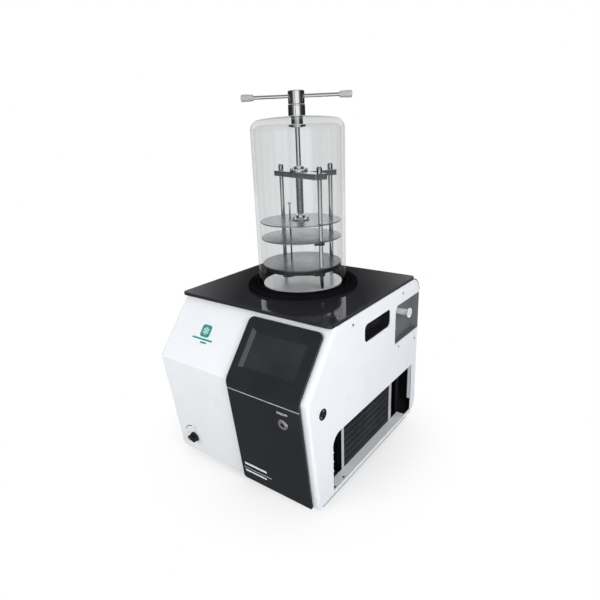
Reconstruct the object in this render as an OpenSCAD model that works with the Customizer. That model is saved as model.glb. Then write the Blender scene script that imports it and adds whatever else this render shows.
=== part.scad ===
// Bench-top freeze dryer: cabinet with cold trap, refrigeration set and a clear chamber with a press.
// Millimetres, +Z up, the front faces -Y. The origin lies on the floor under the middle of the cabinet.

/* [Cabinet] */
// Width over the side covers
body_w = 526; // [506:1:560]
// Depth from the nose of the front to the rear cover
body_d = 620; // [605:1:660]
// Height of the covers up to the underside of the top plate
body_h = 481; // [470:1:520]
// Height of the nose above the lower edge of the covers
nose_h = 327; // [315:1:340]
// How far the nose stands ahead of the top edge of the front
brow_run = 124; // [112:1:132]
// How far the nose stands ahead of the bottom edge of the front
toe_run = 38; // [28:1:46]
// Radius of the nose and of the upper front corners
nose_r = 20; // [14:1:22]
// Radius of the lower front corners
toe_r = 12; // [9:1:15]
// Wall of the moulded front
front_wall = 3; // [2.5:0.5:4]
// How far the front wraps round its upper corners
brow_wrap = 21; // [17:1:24]
// How far the front wraps round its lower corners
chin_wrap = 9; // [7:1:12]
// Gap between neighbouring covers
seam_gap = 0.6; // [0.4:0.1:1]
// Thickness of the side and rear covers
sheet = 2; // [1.5:0.5:3]
// Radius of the rear corners of the cabinet
rear_r = 50; // [40:1:60]
// Height of the tray edge that shows below the covers
hem_h = 4; // [3:0.5:6]
// Height of a rubber foot
foot_h = 15; // [10:1:25]
// Radius of a rubber foot
foot_r = 20; // [15:1:25]
// Distance from a foot to the edge of the cabinet
foot_inset = 60; // [45:1:80]
// Side of the angle bars of the welded frame
bar = 20; // [16:1:25]
// Thickness of the angle bars
bar_t = 3; // [2:0.5:4]

/* [Top plate] */
// Thickness of the top plate
deck_t = 10; // [6:1:14]
// How far the top plate stands ahead of the top edge of the front
deck_lip = 18; // [12:1:24]
// Distance from the rear edge of the top plate to the back of the cabinet
deck_back = 35; // [28:1:42]
// Corner radius of the top plate
deck_r = 12; // [6:1:18]

/* [Control panel] */
// Width of the control panel
panel_w = 234; // [224:1:240]
// Distance from the right edge of the cabinet to the control panel
panel_edge = 21; // [18:1:26]
// How far the control panel stands proud of the front
panel_t = 8.5; // [8:0.5:11]
// Wall of the control panel
panel_wall = 3; // [2.5:0.5:3.5]
// Distance from the top edge of the front to the control panel
panel_drop = 21; // [16:1:26]
// Radius of the upper corners of the control panel
panel_r = 16; // [10:1:20]
// Width of the touch screen
screen_w = 163; // [155:1:168]
// Height of the touch screen
screen_h = 97; // [90:1:100]
// Distance from the nose to the lower edge of the touch screen
screen_s = 41; // [38:1:46]
// Depth of the touch screen below the face of the panel
screen_depth = 4; // [2:0.5:5]
// Width of the bevel beside the touch screen
bevel_side = 14; // [10:1:17]
// Width of the bevel above the touch screen
bevel_top = 8; // [5:1:10]
// Width of the bevel below the touch screen
bevel_low = 3; // [2:1:5]
// Distance from the nose down to the trim strip
trim_s = 20; // [16:1:26]
// Height of the trim strip
trim_h = 2.6; // [2:0.2:4]
// Radius of the bezel round the power button
bezel_r = 15; // [13:0.5:17]
// Radius of the power button
button_r = 10; // [8:0.5:11]
// Travel of the power button
button_travel = 3; // [2:0.5:4]
// Distance from the nose down to the power button
button_s = 73; // [66:1:84]
// Distance from the right edge of the control panel to the power button
button_in = 55; // [45:1:65]

/* [Drain] */
// Radius of the drain knob
knob_r = 16; // [14:0.5:19]
// Height of the drain knob
knob_h = 18; // [14:1:22]
// Distance from the left edge of the cabinet to the drain knob
knob_in = 71; // [62:1:85]
// Distance from the nose down to the drain knob
knob_s = 272; // [258:1:280]
// Radius of the knob's stem
stem_r = 4; // [3:0.5:5]
// Bore radius of the drain spout
spout_bore_r = 4; // [3:0.5:4.5]
// Outer radius of the drain spout and the drain pipe
spout_r = 6; // [5.5:0.5:7]
// How far the drain spout stands out of the left cover
spout_out = 16; // [12:1:20]

/* [Side openings] */
// Length of a hand hold
grip_l = 149; // [135:1:160]
// Height of a hand hold
grip_h = 52; // [44:1:58]
// Corner radius of a hand hold
grip_r = 14; // [8:1:18]
// Depth of a hand hold
grip_depth = 40; // [30:1:45]
// Distance from the front end of a hand hold to the axis of the chamber
grip_front = 87; // [80:1:92]
// Height of a hand hold's lower edge above the bottom of the covers
grip_z = 384; // [375:1:392]
// Length of the corner pocket round the pump port
pocket_l = 167; // [155:1:175]
// Height of the corner pocket
pocket_h = 122; // [110:1:130]
// Height of the corner pocket's lower edge above the bottom of the covers
pocket_z = 308; // [302:1:316]
// Depth of the corner pocket
pocket_depth = 20; // [16:1:24]
// Radius of the corner pocket's upper front corner
pocket_r = 18; // [10:1:24]
// Bore radius of the pump port
port_bore_r = 8; // [7:0.5:8]
// Outer radius of the pump port's tube
port_r = 9.5; // [9:0.5:10.5]
// Outer radius of the pump port's flange
port_flange_r = 15; // [14:0.5:17]
// How far the pump port stands out of the right cover
port_out = 22; // [16:1:26]
// Distance from the front end of the pocket to the pump port
port_in = 51; // [42:1:70]
// Height of the pump port above the lower edge of the pocket
port_up = 91; // [70:1:94]
// Radius of the round socket in the right cover
socket_r = 15; // [12:0.5:18]
// Distance from the nose back to the round socket
socket_back = 61; // [54:1:70]
// Height of the round socket above the bottom of the covers
socket_z = 276; // [262:1:290]
// Distance from the nose back to the vent window
window_back = 105; // [98:1:115]
// Distance from the rear end of the vent window to the back of the cabinet
window_rear = 35; // [28:1:42]
// Height of the vent window's lower edge above the bottom of the covers
window_z = 17; // [14:1:22]
// Height of the vent window
window_h = 169; // [155:1:178]
// Radius of the vent window's upper front corner
window_r = 33; // [24:1:40]
// Width of the folded edge under the vent window
window_fold = 29; // [25:1:32]
// Width of the folded edge behind the vent window
window_return = 12.5; // [9:0.5:16]
// Number of slots in the left cover
slot_count = 9; // [6:1:11]
// Height of a vent slot
slot_h = 6; // [4:1:8]

/* [Chamber] */
// Distance from the nose to the axis of the chamber
chamber_back = 355; // [348:1:362]
// Outer radius of the bell
bell_r = 130; // [126:1:134]
// Height of the bell's top above the top plate
bell_h = 475; // [466:1:484]
// Wall of the bell
bell_wall = 9; // [7:0.5:10]
// Thickness of the bell's top
bell_top = 15; // [12:1:18]
// Outer radius of the bell's shoulder
shoulder_r = 28; // [20:1:32]
// Rise of the bell's domed roof from its shoulder to its middle
bell_crown = 6; // [3:0.5:8]
// Outer radius of the sealing ring
seal_r = 165; // [158:1:172]
// Height of the sealing ring
seal_h = 13; // [12:1:18]
// Thickness of the sealing ring's lip under the bell
seal_lip = 3; // [2:0.5:4]
// Height of the steel disc's top above the top plate
disc_z = 8; // [7:0.5:9]

/* [Press] */
// Radius of the press screw over its thread
screw_r = 11; // [10:0.5:12]
// Radius of the plain shaft above the thread
shaft_r = 6.5; // [6:0.5:7.5]
// Clearance round a part that turns or slides in a bearing
run_gap = 0.05; // [0.02:0.01:0.08]
// Clearance round the posts in the plates
post_gap = 0.6; // [0.4:0.1:1]
// Radius of the circle on which the posts stand
post_ring = 106; // [100:1:107]
// Radius of a post
post_r = 6; // [5:0.5:7]
// Direction of the first post, degrees from +X
post_angle = 157; // [150:1:165]
// Height of the bridge's top above the top plate
bridge_z = 328; // [322:1:340]
// Thickness of the bridge
bridge_t = 16; // [12:1:18]
// Width of the bridge's arms
bridge_w = 38; // [32:1:44]
// Outer radius of the bridge nut's flange
nut_r = 26; // [22:1:28]
// Height of the bridge nut
nut_h = 15; // [12:1:18]
// Height of a dome nut
cap_h = 20; // [16:1:24]
// Radius of the plates
plate_r = 117; // [115:1:118]
// Thickness of the plates
plate_t = 3; // [2:0.5:4]
// Height of the press plate's top above the top plate
press_z = 193; // [188:1:200]
// Height of the swivel hub
hub_h = 15; // [13:1:18]
// Radius of the swivel hub
hub_r = 13.5; // [12.5:0.5:16]
// Height of the upper shelf's top above the top plate
upper_z = 146; // [135:1:155]
// Height of the lower shelf's top above the top plate
lower_z = 69; // [60:1:80]
// Thickness of the heater under the lower shelf
heater_t = 11; // [8:1:14]
// Height of a shelf clamp
clamp_h = 8; // [6:1:10]
// Outer radius of a shelf clamp
clamp_r = 10.5; // [9:0.5:11]
// Radius of the product probe
probe_r = 2.5; // [2:0.5:3.5]
// Height of the product probe's top above the top plate
probe_z = 240; // [225:1:255]

/* [Handle] */
// Outer radius of the gland
gland_r = 23.5; // [21:0.5:26]
// Height of the gland above the bell
gland_h = 29; // [24:1:34]
// Outer radius of the handle hub
handle_hub_r = 22.5; // [20:0.5:25]
// Height of the handle hub
handle_hub_h = 34; // [28:1:40]
// Radius of the cross rod
rod_r = 5; // [4:0.5:6]
// Length over the two grips
handle_l = 300; // [280:1:320]
// Length of a grip
handle_grip_l = 34; // [28:1:42]
// Radius of a grip
handle_grip_r = 9.5; // [8:0.5:12]
// Direction of the cross rod at rest, degrees from +X
handle_angle = 33; // [0:1:60]

/* [Cold trap and refrigeration] */
// Inner radius of the cold trap
trap_r = 100; // [90:1:103]
// Wall of the cold trap
trap_wall = 2; // [1.5:0.5:3]
// Depth of the cold trap
trap_depth = 215; // [200:1:225]
// Thickness of the foam round the cold trap
foam_t = 28; // [22:1:32]
// Radius of the evaporator tube
coil_r = 5; // [4:0.5:6]
// Turns of the evaporator coil
coil_turns = 8; // [6:1:10]
// Depth of the condenser
cond_t = 40; // [32:1:44]
// Length of the condenser between its end plates
cond_l = 308; // [298:1:318]
// Height of the condenser
cond_h = 190; // [180:1:200]
// Number of fins in the condenser
fin_count = 30; // [20:1:36]
// Rows of tubes in the condenser
tube_rows = 8; // [6:2:8]
// Radius of a condenser tube
tube_r = 4.5; // [3.5:0.5:5]
// Radius of the condenser fan
fan_r = 82; // [70:1:84]
// Number of fan blades
blade_count = 5; // [4:1:6]
// Radius of the compressor shell
comp_r = 72; // [62:1:76]
// Height of the compressor shell
comp_h = 170; // [150:1:180]

/* [Hidden] */

$fn = 64;
eps = 0.05;
arc_steps = 10;

// Colours
WHITE = [0.93, 0.94, 0.95];
BLACK = [0.05, 0.05, 0.06];
PANEL = [0.16, 0.17, 0.18];
GREY = [0.42, 0.43, 0.44];
STEEL = [0.75, 0.76, 0.77];
DULL = [0.55, 0.57, 0.58];
COPPER = [0.72, 0.42, 0.25];
RUBBER = [0.08, 0.08, 0.09];
CLEAR = [0.85, 0.88, 0.9, 0.3];

// Planes of the cabinet
side_x = body_w / 2;
inner_x = side_x - sheet;
nose_y = -body_d / 2;
back_y = body_d / 2;
chamber_y = nose_y + chamber_back;
low_z = foot_h;
top_z = foot_h + body_h;
deck_z = top_z + deck_t;
nose_z = low_z + nose_h;
brow_y = nose_y + brow_run;
toe_y = nose_y + toe_run;

// The front in side view: brow above the nose, chin below it. Normals point outwards.
brow_len = norm([brow_run, body_h - nose_h]);
chin_len = norm([toe_run, nose_h]);
brow_n = [nose_h - body_h, brow_run] / brow_len;
chin_n = [-nose_h, -toe_run] / chin_len;
brow_tilt = atan2(-brow_n[0], brow_n[1]);
chin_tilt = atan2(-chin_n[0], chin_n[1]);
nose = [nose_y, nose_z];
up_n = [0, 1];

// Point where two lines in side view meet; each is a normal and its distance from the origin
function meet(n1, d1, n2, d2) =
    let (det = n1[0] * n2[1] - n1[1] * n2[0]) [d1 * n2[1] - d2 * n1[1], n1[0] * d2 - n2[0] * d1] / det;
// Points of the front's outline, moved outwards by the two offsets
function front_nose(brow_off, chin_off) = meet(brow_n, brow_n * nose + brow_off, chin_n,
    chin_n * nose + chin_off);
function front_top(off, z) = meet(brow_n, brow_n * nose + off, up_n, z);
function front_low(off, z) = meet(chin_n, chin_n * nose + off, up_n, z);
// Points of an arc
function arc(centre, r, from, to, steps = arc_steps) =
    [for (i = [0:steps]) centre + r * [cos(from + (to - from) * i / steps),
        sin(from + (to - from) * i / steps)]];
brow_dir = atan2(brow_n[1], brow_n[0]);
chin_dir = atan2(chin_n[1], chin_n[0]) + 360;
// Outline of the front moved outwards by off, with the nose rounded to r
function front_line(off, r, z_hi, z_lo) = concat([front_top(off, z_hi)],
    arc(front_nose(off - r, off - r), r, brow_dir, chin_dir), [front_low(off, z_lo)]);

// Places on the front: x from the middle plane, s along the face from the nose, off outwards from the face
module on_brow(x, s, off = 0) {
    translate([x, nose_y + s * brow_n[1] + off * brow_n[0], nose_z - s * brow_n[0] + off * brow_n[1]])
        rotate([brow_tilt, 0, 0]) children();
}
module on_chin(x, s, off = 0) {
    translate([x, nose_y - s * chin_n[1] + off * chin_n[0], nose_z + s * chin_n[0] + off * chin_n[1]])
        rotate([chin_tilt, 0, 0]) children();
}
// A side-view outline (y, z) drawn out along +X from x
module along_x(x, w) {
    translate([x, 0, 0]) rotate([90, 0, 90]) linear_extrude(w) children();
}
module at_chamber(z = 0) {
    translate([0, chamber_y, z]) children();
}
module at_post(i) {
    rotate(post_angle + [0, 180, 270][i]) translate([post_ring, 0, 0]) children();
}
module ring(r_out, r_in, h) {
    difference() {
        cylinder(h = h, r = r_out);
        translate([0, 0, -eps]) cylinder(h = h + 2 * eps, r = r_in);
    }
}
// Rounded rectangle with its lower left corner at the origin
module round_rect(w, h, r) {
    translate([r, 0]) square([w - 2 * r, h]);
    translate([0, r]) square([w, h - 2 * r]);
    for (x = [r, w - r], y = [r, h - r]) translate([x, y]) circle(r);
}
// Rectangle in (y, z) with only its upper left corner rounded
module one_round(w, h, r) {
    difference() {
        square([w, h]);
        translate([-eps, h - r]) difference() {
            square([r + eps, r + eps]);
            translate([r + eps, 0]) circle(r);
        }
    }
}

// Tube swept along a route: rings that stay square to it, closed at both ends
pipe_sides = 10;
function unit(v) = v / norm(v);
function heading(p, i) = unit(p[min(i + 1, len(p) - 1)] - p[max(i - 1, 0)]);
function square_to(t) = unit(cross(t, abs(t[2]) < 0.8 ? [0, 0, 1] : [1, 0, 0]));
function carried(v, t) = unit(v - (v * t) * t);
function frames(p, i = 0, v = undef) = i >= len(p) ? [] :
    let (t = heading(p, i), u = carried(v == undef ? square_to(t) : v, t)) concat([[t, u]], frames(p,
        i + 1, u));
module swept_tube(p, r) {
    f = frames(p);
    pts = [for (i = [0:len(p) - 1], k = [0:pipe_sides - 1]) let (a = 360 * k / pipe_sides)
        p[i] + r * (cos(a) * f[i][1] + sin(a) * cross(f[i][0], f[i][1]))];
    skin = [for (i = [0:len(p) - 2], k = [0:pipe_sides - 1]) let (n = (k + 1) % pipe_sides)
        [i * pipe_sides + k, (i + 1) * pipe_sides + k, (i + 1) * pipe_sides + n, i * pipe_sides + n]];
    start = [for (k = [0:pipe_sides - 1]) k];
    end = [for (k = [pipe_sides - 1:-1:0]) (len(p) - 1) * pipe_sides + k];
    polyhedron(pts, concat(skin, [start, end]), convexity = 6);
}
// Route with each inner corner of a list of points rounded to r
function corner(a, b, c, r, steps = 5) =
    let (u = unit(a - b), w = unit(c - b), half = acos(u * w) / 2, back = min(r / tan(half),
        norm(a - b) / 2.2,
        norm(c - b) / 2.2))
    [for (i = [0:steps]) let (k = i / steps) b + back * ((1 - k) * (1 - k) * u + k * k * w)];
function bent(p, r) = concat([p[0]],
    [for (i = [1:len(p) - 2]) each corner(p[i - 1], p[i], p[i + 1], r)], [p[len(p) - 1]]);

// ---------------------------------------------------------------- base and frame
tray_t = 2;
tray_lip = 12;
tray_x = side_x - 1;
tray_front = toe_y + toe_r + front_wall + 2;
rear_lap = 12;
tray_back = back_y - rear_r - rear_lap;
tray_lip_x = inner_x - seam_gap;
floor_z = low_z + tray_t;
module base_tray() color(WHITE) {
    translate([-tray_x, tray_front, low_z]) cube([2 * tray_x, tray_back - tray_front, tray_t]);
    for (s = [-1, 1]) {
        translate([s * tray_x - (s + 1) / 2 * tray_t, tray_front, low_z]) cube([tray_t,
            tray_back - tray_front, hem_h - 1]);
        translate([s * tray_lip_x - (s + 1) / 2 * tray_t, tray_front, low_z])
            cube([tray_t, tray_back - tray_front, tray_lip]);
    }
    translate([-tray_lip_x, tray_front, low_z]) cube([2 * tray_lip_x, tray_t, tray_lip]);
    translate([-tray_lip_x, tray_back - tray_t, low_z]) cube([2 * tray_lip_x, tray_t, tray_lip]);
}

foot_taper = 3;
module rubber_feet() color(RUBBER)
    for (x = [-1, 1] * (side_x - foot_inset), y = [tray_front + foot_inset / 2, tray_back - foot_inset / 2])
        translate([x, y, 0]) rotate_extrude()
            polygon([[0, 0], [foot_r - foot_taper, 0], [foot_r, foot_h], [0, foot_h]]);

frame_front = brow_y + brow_wrap + 5;
frame_back = tray_back - tray_t - 1;
frame_x = side_x - window_fold - sheet;
upright_x = 150;
rail_z = top_z - bar;
module angle_post(h) {
    cube([bar_t, bar, h]);
    cube([bar, bar_t, h]);
}
module chassis_frame() color(DULL) {
    for (s = [0, 1]) mirror([s, 0, 0]) {
        translate([upright_x, frame_front, floor_z]) angle_post(rail_z + bar - floor_z);
        translate([frame_x, frame_back, floor_z]) mirror([1, 0, 0]) mirror([0, 1, 0])
            angle_post(rail_z + bar - floor_z);
        translate([frame_x - bar_t, frame_front, rail_z]) cube([bar_t, frame_back - frame_front, bar]);
        translate([frame_x - bar, frame_front, top_z - bar_t]) cube([bar, frame_back - frame_front, bar_t]);
    }
    translate([-frame_x, frame_front, rail_z]) cube([2 * frame_x, bar_t, bar]);
    translate([-frame_x, frame_back - bar_t, rail_z]) cube([2 * frame_x, bar_t, bar]);
}

// ---------------------------------------------------------------- covers
// Rounded body of the front, made smaller by inset
module front_form(inset) {
    reach = 70;
    hull() for (s = [-1, 1], y = [0, reach]) {
        top_c = front_top(-nose_r, top_z + nose_r);
        nose_c = front_nose(-nose_r, -nose_r);
        toe_c = front_low(-toe_r, low_z + toe_r);
        for (p = [top_c, nose_c]) translate([s * (side_x - nose_r), p[0] + y, p[1]]) sphere(nose_r - inset,
            $fn = 32);
        translate([s * (side_x - toe_r), toe_c[0] + y, toe_c[1]]) sphere(toe_r - inset, $fn = 32);
    }
}
seam_top = front_top(-brow_wrap, top_z);
seam_nose = front_nose(-brow_wrap, -chin_wrap);
seam_low = front_low(-chin_wrap, low_z);
module front_shell() color(WHITE) difference() {
    front_form(0);
    front_form(front_wall);
    along_x(-side_x - 5, body_w + 10) polygon([seam_top - [seam_gap, 0] + [0.8, 1] * 60,
        seam_top - [seam_gap, 0], seam_nose - [seam_gap, 0], seam_low - [seam_gap, 0],
            seam_low - [seam_gap, 60],
        [back_y, low_z - 60], [back_y, top_z + 60]]);
    translate([-body_w, nose_y - 50, top_z]) cube([2 * body_w, body_d, 80]);
    on_brow(screen_x, screen_s + screen_h / 2, -front_wall * 2) linear_extrude(front_wall * 4)
        square([screen_w + 4, screen_h + 4], center = true);
    on_chin(button_x, button_s, -front_wall * 2) cylinder(h = front_wall * 4, r = bezel_r - 1);
    on_chin(knob_x, knob_s, -front_wall * 2) cylinder(h = front_wall * 4, r = stem_r + 1);
}

grip_y = chamber_y - grip_front;
grip_low = low_z + grip_z;
pocket_y = back_y - pocket_l;
pocket_low = low_z + pocket_z;
window_y = nose_y + window_back;
window_end = back_y - window_rear;
window_low = low_z + window_z;
socket_y = nose_y + socket_back;
socket_low = low_z + socket_z;
cover_low = low_z + hem_h;
// Outline of a side cover: the seam at the front, round corners at the back
module side_outline() {
    polygon(concat([seam_low + [0, hem_h] + [-toe_run / nose_h * hem_h, 0], seam_nose, seam_top],
        arc([back_y - rear_r, top_z - rear_r], rear_r, 90, 0), arc([back_y - rear_r, low_z + rear_r],
            rear_r, 0, -84),
        [[back_y - rear_r, cover_low]]));
}
cover_screw_r = 2;
cover_screw_drop = 22;
screw_spots = [[grip_y - 62, top_z - cover_screw_drop], [back_y - 118, top_z - cover_screw_drop],
    [back_y - 21, pocket_low - 32],
    [pocket_y + 27, pocket_low - 16]];
module screw_holes() {
    for (p = screw_spots) translate(p) circle(cover_screw_r + 0.2);
}
module grip_hole() {
    translate([grip_y, grip_low]) round_rect(grip_l, grip_h, grip_r);
}
tab_count = 3;
relief = 40;
module vent_window() {
    difference() {
        translate([window_y, window_low]) one_round(window_end - window_y, window_h, window_r);
        for (i = [0:tab_count - 1])
            translate([window_y - eps, window_low + window_h * (0.36 + 0.17 * i)]) square([3, 4]);
    }
}
module side_cover_right() color(WHITE) {
    along_x(inner_x, sheet) difference() {
        side_outline();
        grip_hole();
        screw_holes();
        vent_window();
        translate([pocket_y, pocket_low]) one_round(pocket_l + 1, pocket_h, pocket_r);
        translate([socket_y, socket_low]) circle(socket_r - 2);
    }
    fold_x = side_x - window_fold;
    translate([fold_x, window_y, window_low - sheet])
        cube([window_fold, window_end - window_y - relief, sheet]);
    translate([side_x - window_return, window_end, window_low + relief]) cube([window_return, sheet,
        window_h - relief]);
}
slot_l = 230;
module side_cover_left() color(WHITE) along_x(-side_x, sheet) difference() {
    side_outline();
    grip_hole();
    screw_holes();
    for (i = [0:slot_count - 1])
        translate([window_y + 30, window_low + 20 + i * window_h / (slot_count + 2)]) round_rect(slot_l,
            slot_h, slot_h / 2 - 0.1);
    translate([spout_y, spout_z]) circle(spout_r + 0.5);
}

rear_x = inner_x - 0.2;
inlet_w = 48;
inlet_h = 28;
inlet_in = 91;
inlet_x = inlet_in - inner_x;
rear_low = 90;
rear_slot_l = 210;
rear_slot_x = -70;
rear_slot_step = 22;
inlet_z = low_z + rear_low;
// Bent rear cover: the top strip, the back and the bottom strip in one sheet
module rear_cover() color(WHITE) difference() {
    c_top = [back_y - rear_r, top_z - rear_r];
    c_low = [back_y - rear_r, low_z + rear_r];
    along_x(-rear_x, 2 * rear_x) polygon(concat(
        arc(c_top, rear_r, 90, 0), arc(c_low, rear_r, 0, -90), [c_low - [rear_lap, rear_r]],
        [c_low - [rear_lap, rear_r - sheet]], arc(c_low, rear_r - sheet, -90, 0), arc(c_top,
            rear_r - sheet, 0, 90)));
    translate([side_x - pocket_depth - sheet, back_y - 2 * rear_r, pocket_low - sheet])
        cube([pocket_depth + 2 * sheet, 3 * rear_r, pocket_h + 2 * sheet]);
    translate([inlet_x - inlet_w / 2, back_y - 2 * sheet, inlet_z - inlet_h / 2]) cube([inlet_w, 4 * sheet,
        inlet_h]);
    for (i = [0:slot_count - 1]) translate([rear_slot_x, back_y - 2 * sheet,
        low_z + rear_low + i * rear_slot_step]) rotate([90, 0, 0])
        mirror([0, 0, 1]) linear_extrude(4 * sheet) round_rect(rear_slot_l, slot_h, slot_h / 2 - 0.1);
}

deck_y = brow_y - deck_lip;
deck_end = back_y - deck_back;
deck_side = side_x - 0.6;
module top_plate() color(BLACK) difference() {
    translate([-deck_side, deck_y, top_z]) linear_extrude(deck_t)
        round_rect(2 * deck_side, deck_end - deck_y, deck_r);
    at_chamber(top_z - eps) cylinder(h = deck_t + 2 * eps, r = trap_r + trap_wall + 0.5);
}

screw_head_r = 4;
screw_head_h = 1.8;
screw_l = 9;
module cover_screws() color(STEEL)
    for (s = [0, 1], p = screw_spots) mirror([s, 0, 0]) translate([side_x, p[0], p[1]]) rotate([0, 90, 0]) {
        cylinder(h = screw_head_h, r1 = screw_head_r, r2 = screw_head_r - 1);
        translate([0, 0, -screw_l]) cylinder(h = screw_l, r = cover_screw_r);
    }

cup_wall = 2.5;
// Moulded cup behind a hand hold, open to the outside
module hand_cup() {
    x0 = inner_x - grip_depth;
    difference() {
        along_x(x0, grip_depth) translate([grip_y - cup_wall, grip_low - cup_wall])
            round_rect(grip_l + 2 * cup_wall, grip_h + 2 * cup_wall, grip_r + cup_wall);
        along_x(x0 + cup_wall, grip_depth) translate([grip_y, grip_low]) round_rect(grip_l, grip_h, grip_r);
    }
}
module hand_cups() color(BLACK) for (s = [0, 1]) mirror([s, 0, 0]) hand_cup();

port_y = pocket_y + port_in;
port_z = pocket_low + port_up;
pocket_x = side_x - pocket_depth;
// Folded pocket in the rear corner: inner wall, roof, floor, front wall and rear wall
module port_pocket() color(GREY) difference() {
    union() {
        along_x(pocket_x - sheet, pocket_depth) translate([pocket_y - sheet, pocket_low - sheet])
            one_round(pocket_l + sheet, pocket_h + 2 * sheet, pocket_r + sheet);
        along_x(pocket_x, pocket_depth) translate([back_y - sheet, pocket_low]) square([sheet, pocket_h]);
    }
    along_x(pocket_x, pocket_depth + 1) translate([pocket_y, pocket_low])
        one_round(pocket_l - sheet, pocket_h, pocket_r);
    translate([pocket_x - 3 * sheet, port_y, port_z]) rotate([0, 90, 0]) cylinder(h = 6 * sheet,
        r = port_r);
}

port_in_l = 45;
flange_t = 3;
port_x = side_x + port_out;
port_len = port_out + pocket_depth + port_in_l;
// Small-flange stub with its locking cone
module pump_port() color(STEEL) translate([port_x, port_y, port_z]) rotate([0, -90, 0]) rotate_extrude()
    polygon([[port_bore_r, 0], [port_flange_r, 0], [port_flange_r, flange_t], [port_r, flange_t + 2.2],
        [port_r, port_len], [port_bore_r, port_len]]);

pin_ring = 5;
module round_socket() color(BLACK) translate([side_x, socket_y, socket_low]) rotate([0, 90, 0])
    difference() {
    union() {
        cylinder(h = 2, r = socket_r);
        translate([0, 0, -16]) cylinder(h = 16 + eps, r = socket_r - 2.2);
    }
    translate([0, 0, -6]) ring(socket_r - 4, socket_r - 7, 20);
    for (a = [0:120:240]) rotate(a) translate([pin_ring, 0, -6]) cylinder(h = 20, r = 1);
}

// ---------------------------------------------------------------- control panel
panel_x = side_x - panel_edge - panel_w;
screen_x = panel_x + panel_w / 2 + 2;
button_x = panel_x + panel_w - button_in;
panel_top_s = brow_len - panel_drop;
brow_up = [brow_n[1], -brow_n[0]];
trim_in = 1;
cut_over = 0.1;
screen_gap = 0.2;
recess_h = bevel_low + screen_h + bevel_top;
recess_s = screen_s - bevel_low + recess_h / 2;
panel_foot_r = 12;
// Slab over the front from back outwards to front_off, cut square at its top and made smaller by inset
module panel_form(front_off, back, inset) {
    top = nose + (panel_top_s - inset) * brow_up;
    low = low_z + inset;
    along_x(panel_x + inset, panel_w - 2 * inset) intersection() {
        polygon(concat(front_line(front_off, nose_r + front_off, top_z, low),
            [front_low(back, low)], arc(front_nose(-nose_r, -nose_r), nose_r + back, chin_dir, brow_dir),
            [front_top(back, top_z)]));
        polygon([top + panel_r * 6 * brow_n, top - panel_r * 6 * brow_n, [back_y, low],
            [nose_y - body_d / 3, low]]);
    }
}
// What lies outside a round corner whose centre is the origin
module corner_cut(r, h) {
    linear_extrude(h) polygon(concat([[r, 0], [r + 2, 0], [r + 2, r + 2], [0, r + 2]], arc([0, 0], r, 90,
        0)));
}
module control_panel() color(PANEL) difference() {
    union() {
        difference() {
            panel_form(panel_t, 0, 0);
            panel_form(panel_t - panel_wall, -1, panel_wall);
        }
        on_brow(screen_x, recess_s) linear_extrude(panel_t - panel_wall + 0.5)
            square([screen_w + 2 * bevel_side + 6, recess_h + 6], center = true);
        on_chin(button_x, button_s) cylinder(h = panel_t - panel_wall + 0.5, r = bezel_r + 2);
    }
    on_brow(panel_x + panel_w / 2, panel_top_s, -2) for (s = [0, 1]) mirror([s, 0, 0])
        translate([panel_w / 2 - panel_r + cut_over, cut_over - panel_r, 0]) corner_cut(panel_r,
            panel_t + 4);
    hull() {
        on_brow(screen_x, screen_s + screen_h / 2, panel_t - screen_depth)
            linear_extrude(eps) square([screen_w + screen_gap, screen_h + screen_gap], center = true);
        on_brow(screen_x, recess_s, panel_t)
            linear_extrude(1) square([screen_w + 2 * bevel_side, recess_h], center = true);
    }
    on_brow(screen_x, screen_s + screen_h / 2, -2) linear_extrude(panel_t - screen_depth + 2 + eps / 2)
        square([screen_w + screen_gap, screen_h + screen_gap], center = true);
    on_chin(panel_x + panel_foot_r - cut_over, chin_len - panel_foot_r + 1, -2) rotate(180)
        corner_cut(panel_foot_r, panel_t + 4);
    on_chin(button_x, button_s, -1) cylinder(h = panel_t + 2, r = bezel_r - 2);
    on_chin(panel_x + panel_w / 2, trim_s, panel_t - trim_in) linear_extrude(2)
        square([panel_w + 1, trim_h], center = true);
}

screen_t = 10;
module touch_screen() color([0.12, 0.12, 0.13])
    on_brow(screen_x, screen_s + screen_h / 2, panel_t - screen_depth - screen_t)
        linear_extrude(screen_t) square([screen_w, screen_h], center = true);

trim_proud = 0.4;
module trim_strip() color(STEEL) on_chin(panel_x + panel_w / 2, trim_s, panel_t - trim_in)
    linear_extrude(trim_in + trim_proud) square([panel_w, trim_h], center = true);

bezel_h = 2.2;
barrel_l = 26;
barrel_r = bezel_r - 2.2;
button_head = 1.2;
button_seat = 10;
// Threaded barrel with a flange on the panel; the bore takes the button
module button_bezel() color(STEEL) on_chin(button_x, button_s, panel_t) rotate_extrude() polygon([
    [button_r + 0.1, -button_seat], [button_r + 0.1, bezel_h], [bezel_r - 1, bezel_h], [bezel_r,
        bezel_h - 1],
    [bezel_r, 0], [barrel_r, 0], [barrel_r, -barrel_l], [0, -barrel_l], [0,
        -button_seat - button_travel - 1],
    [button_r - 3, -button_seat - button_travel - 1], [button_r - 3, -button_seat]]);
module power_button() color(STEEL) on_chin(button_x, button_s, panel_t) rotate_extrude() polygon([
    [0, -button_seat + button_travel], [button_r, -button_seat + button_travel], [button_r,
        bezel_h + button_head - 0.6],
    [button_r - 0.6, bezel_h + button_head], [button_r - 2.5, bezel_h + button_head], [0, bezel_h + 0.3]]);

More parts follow.
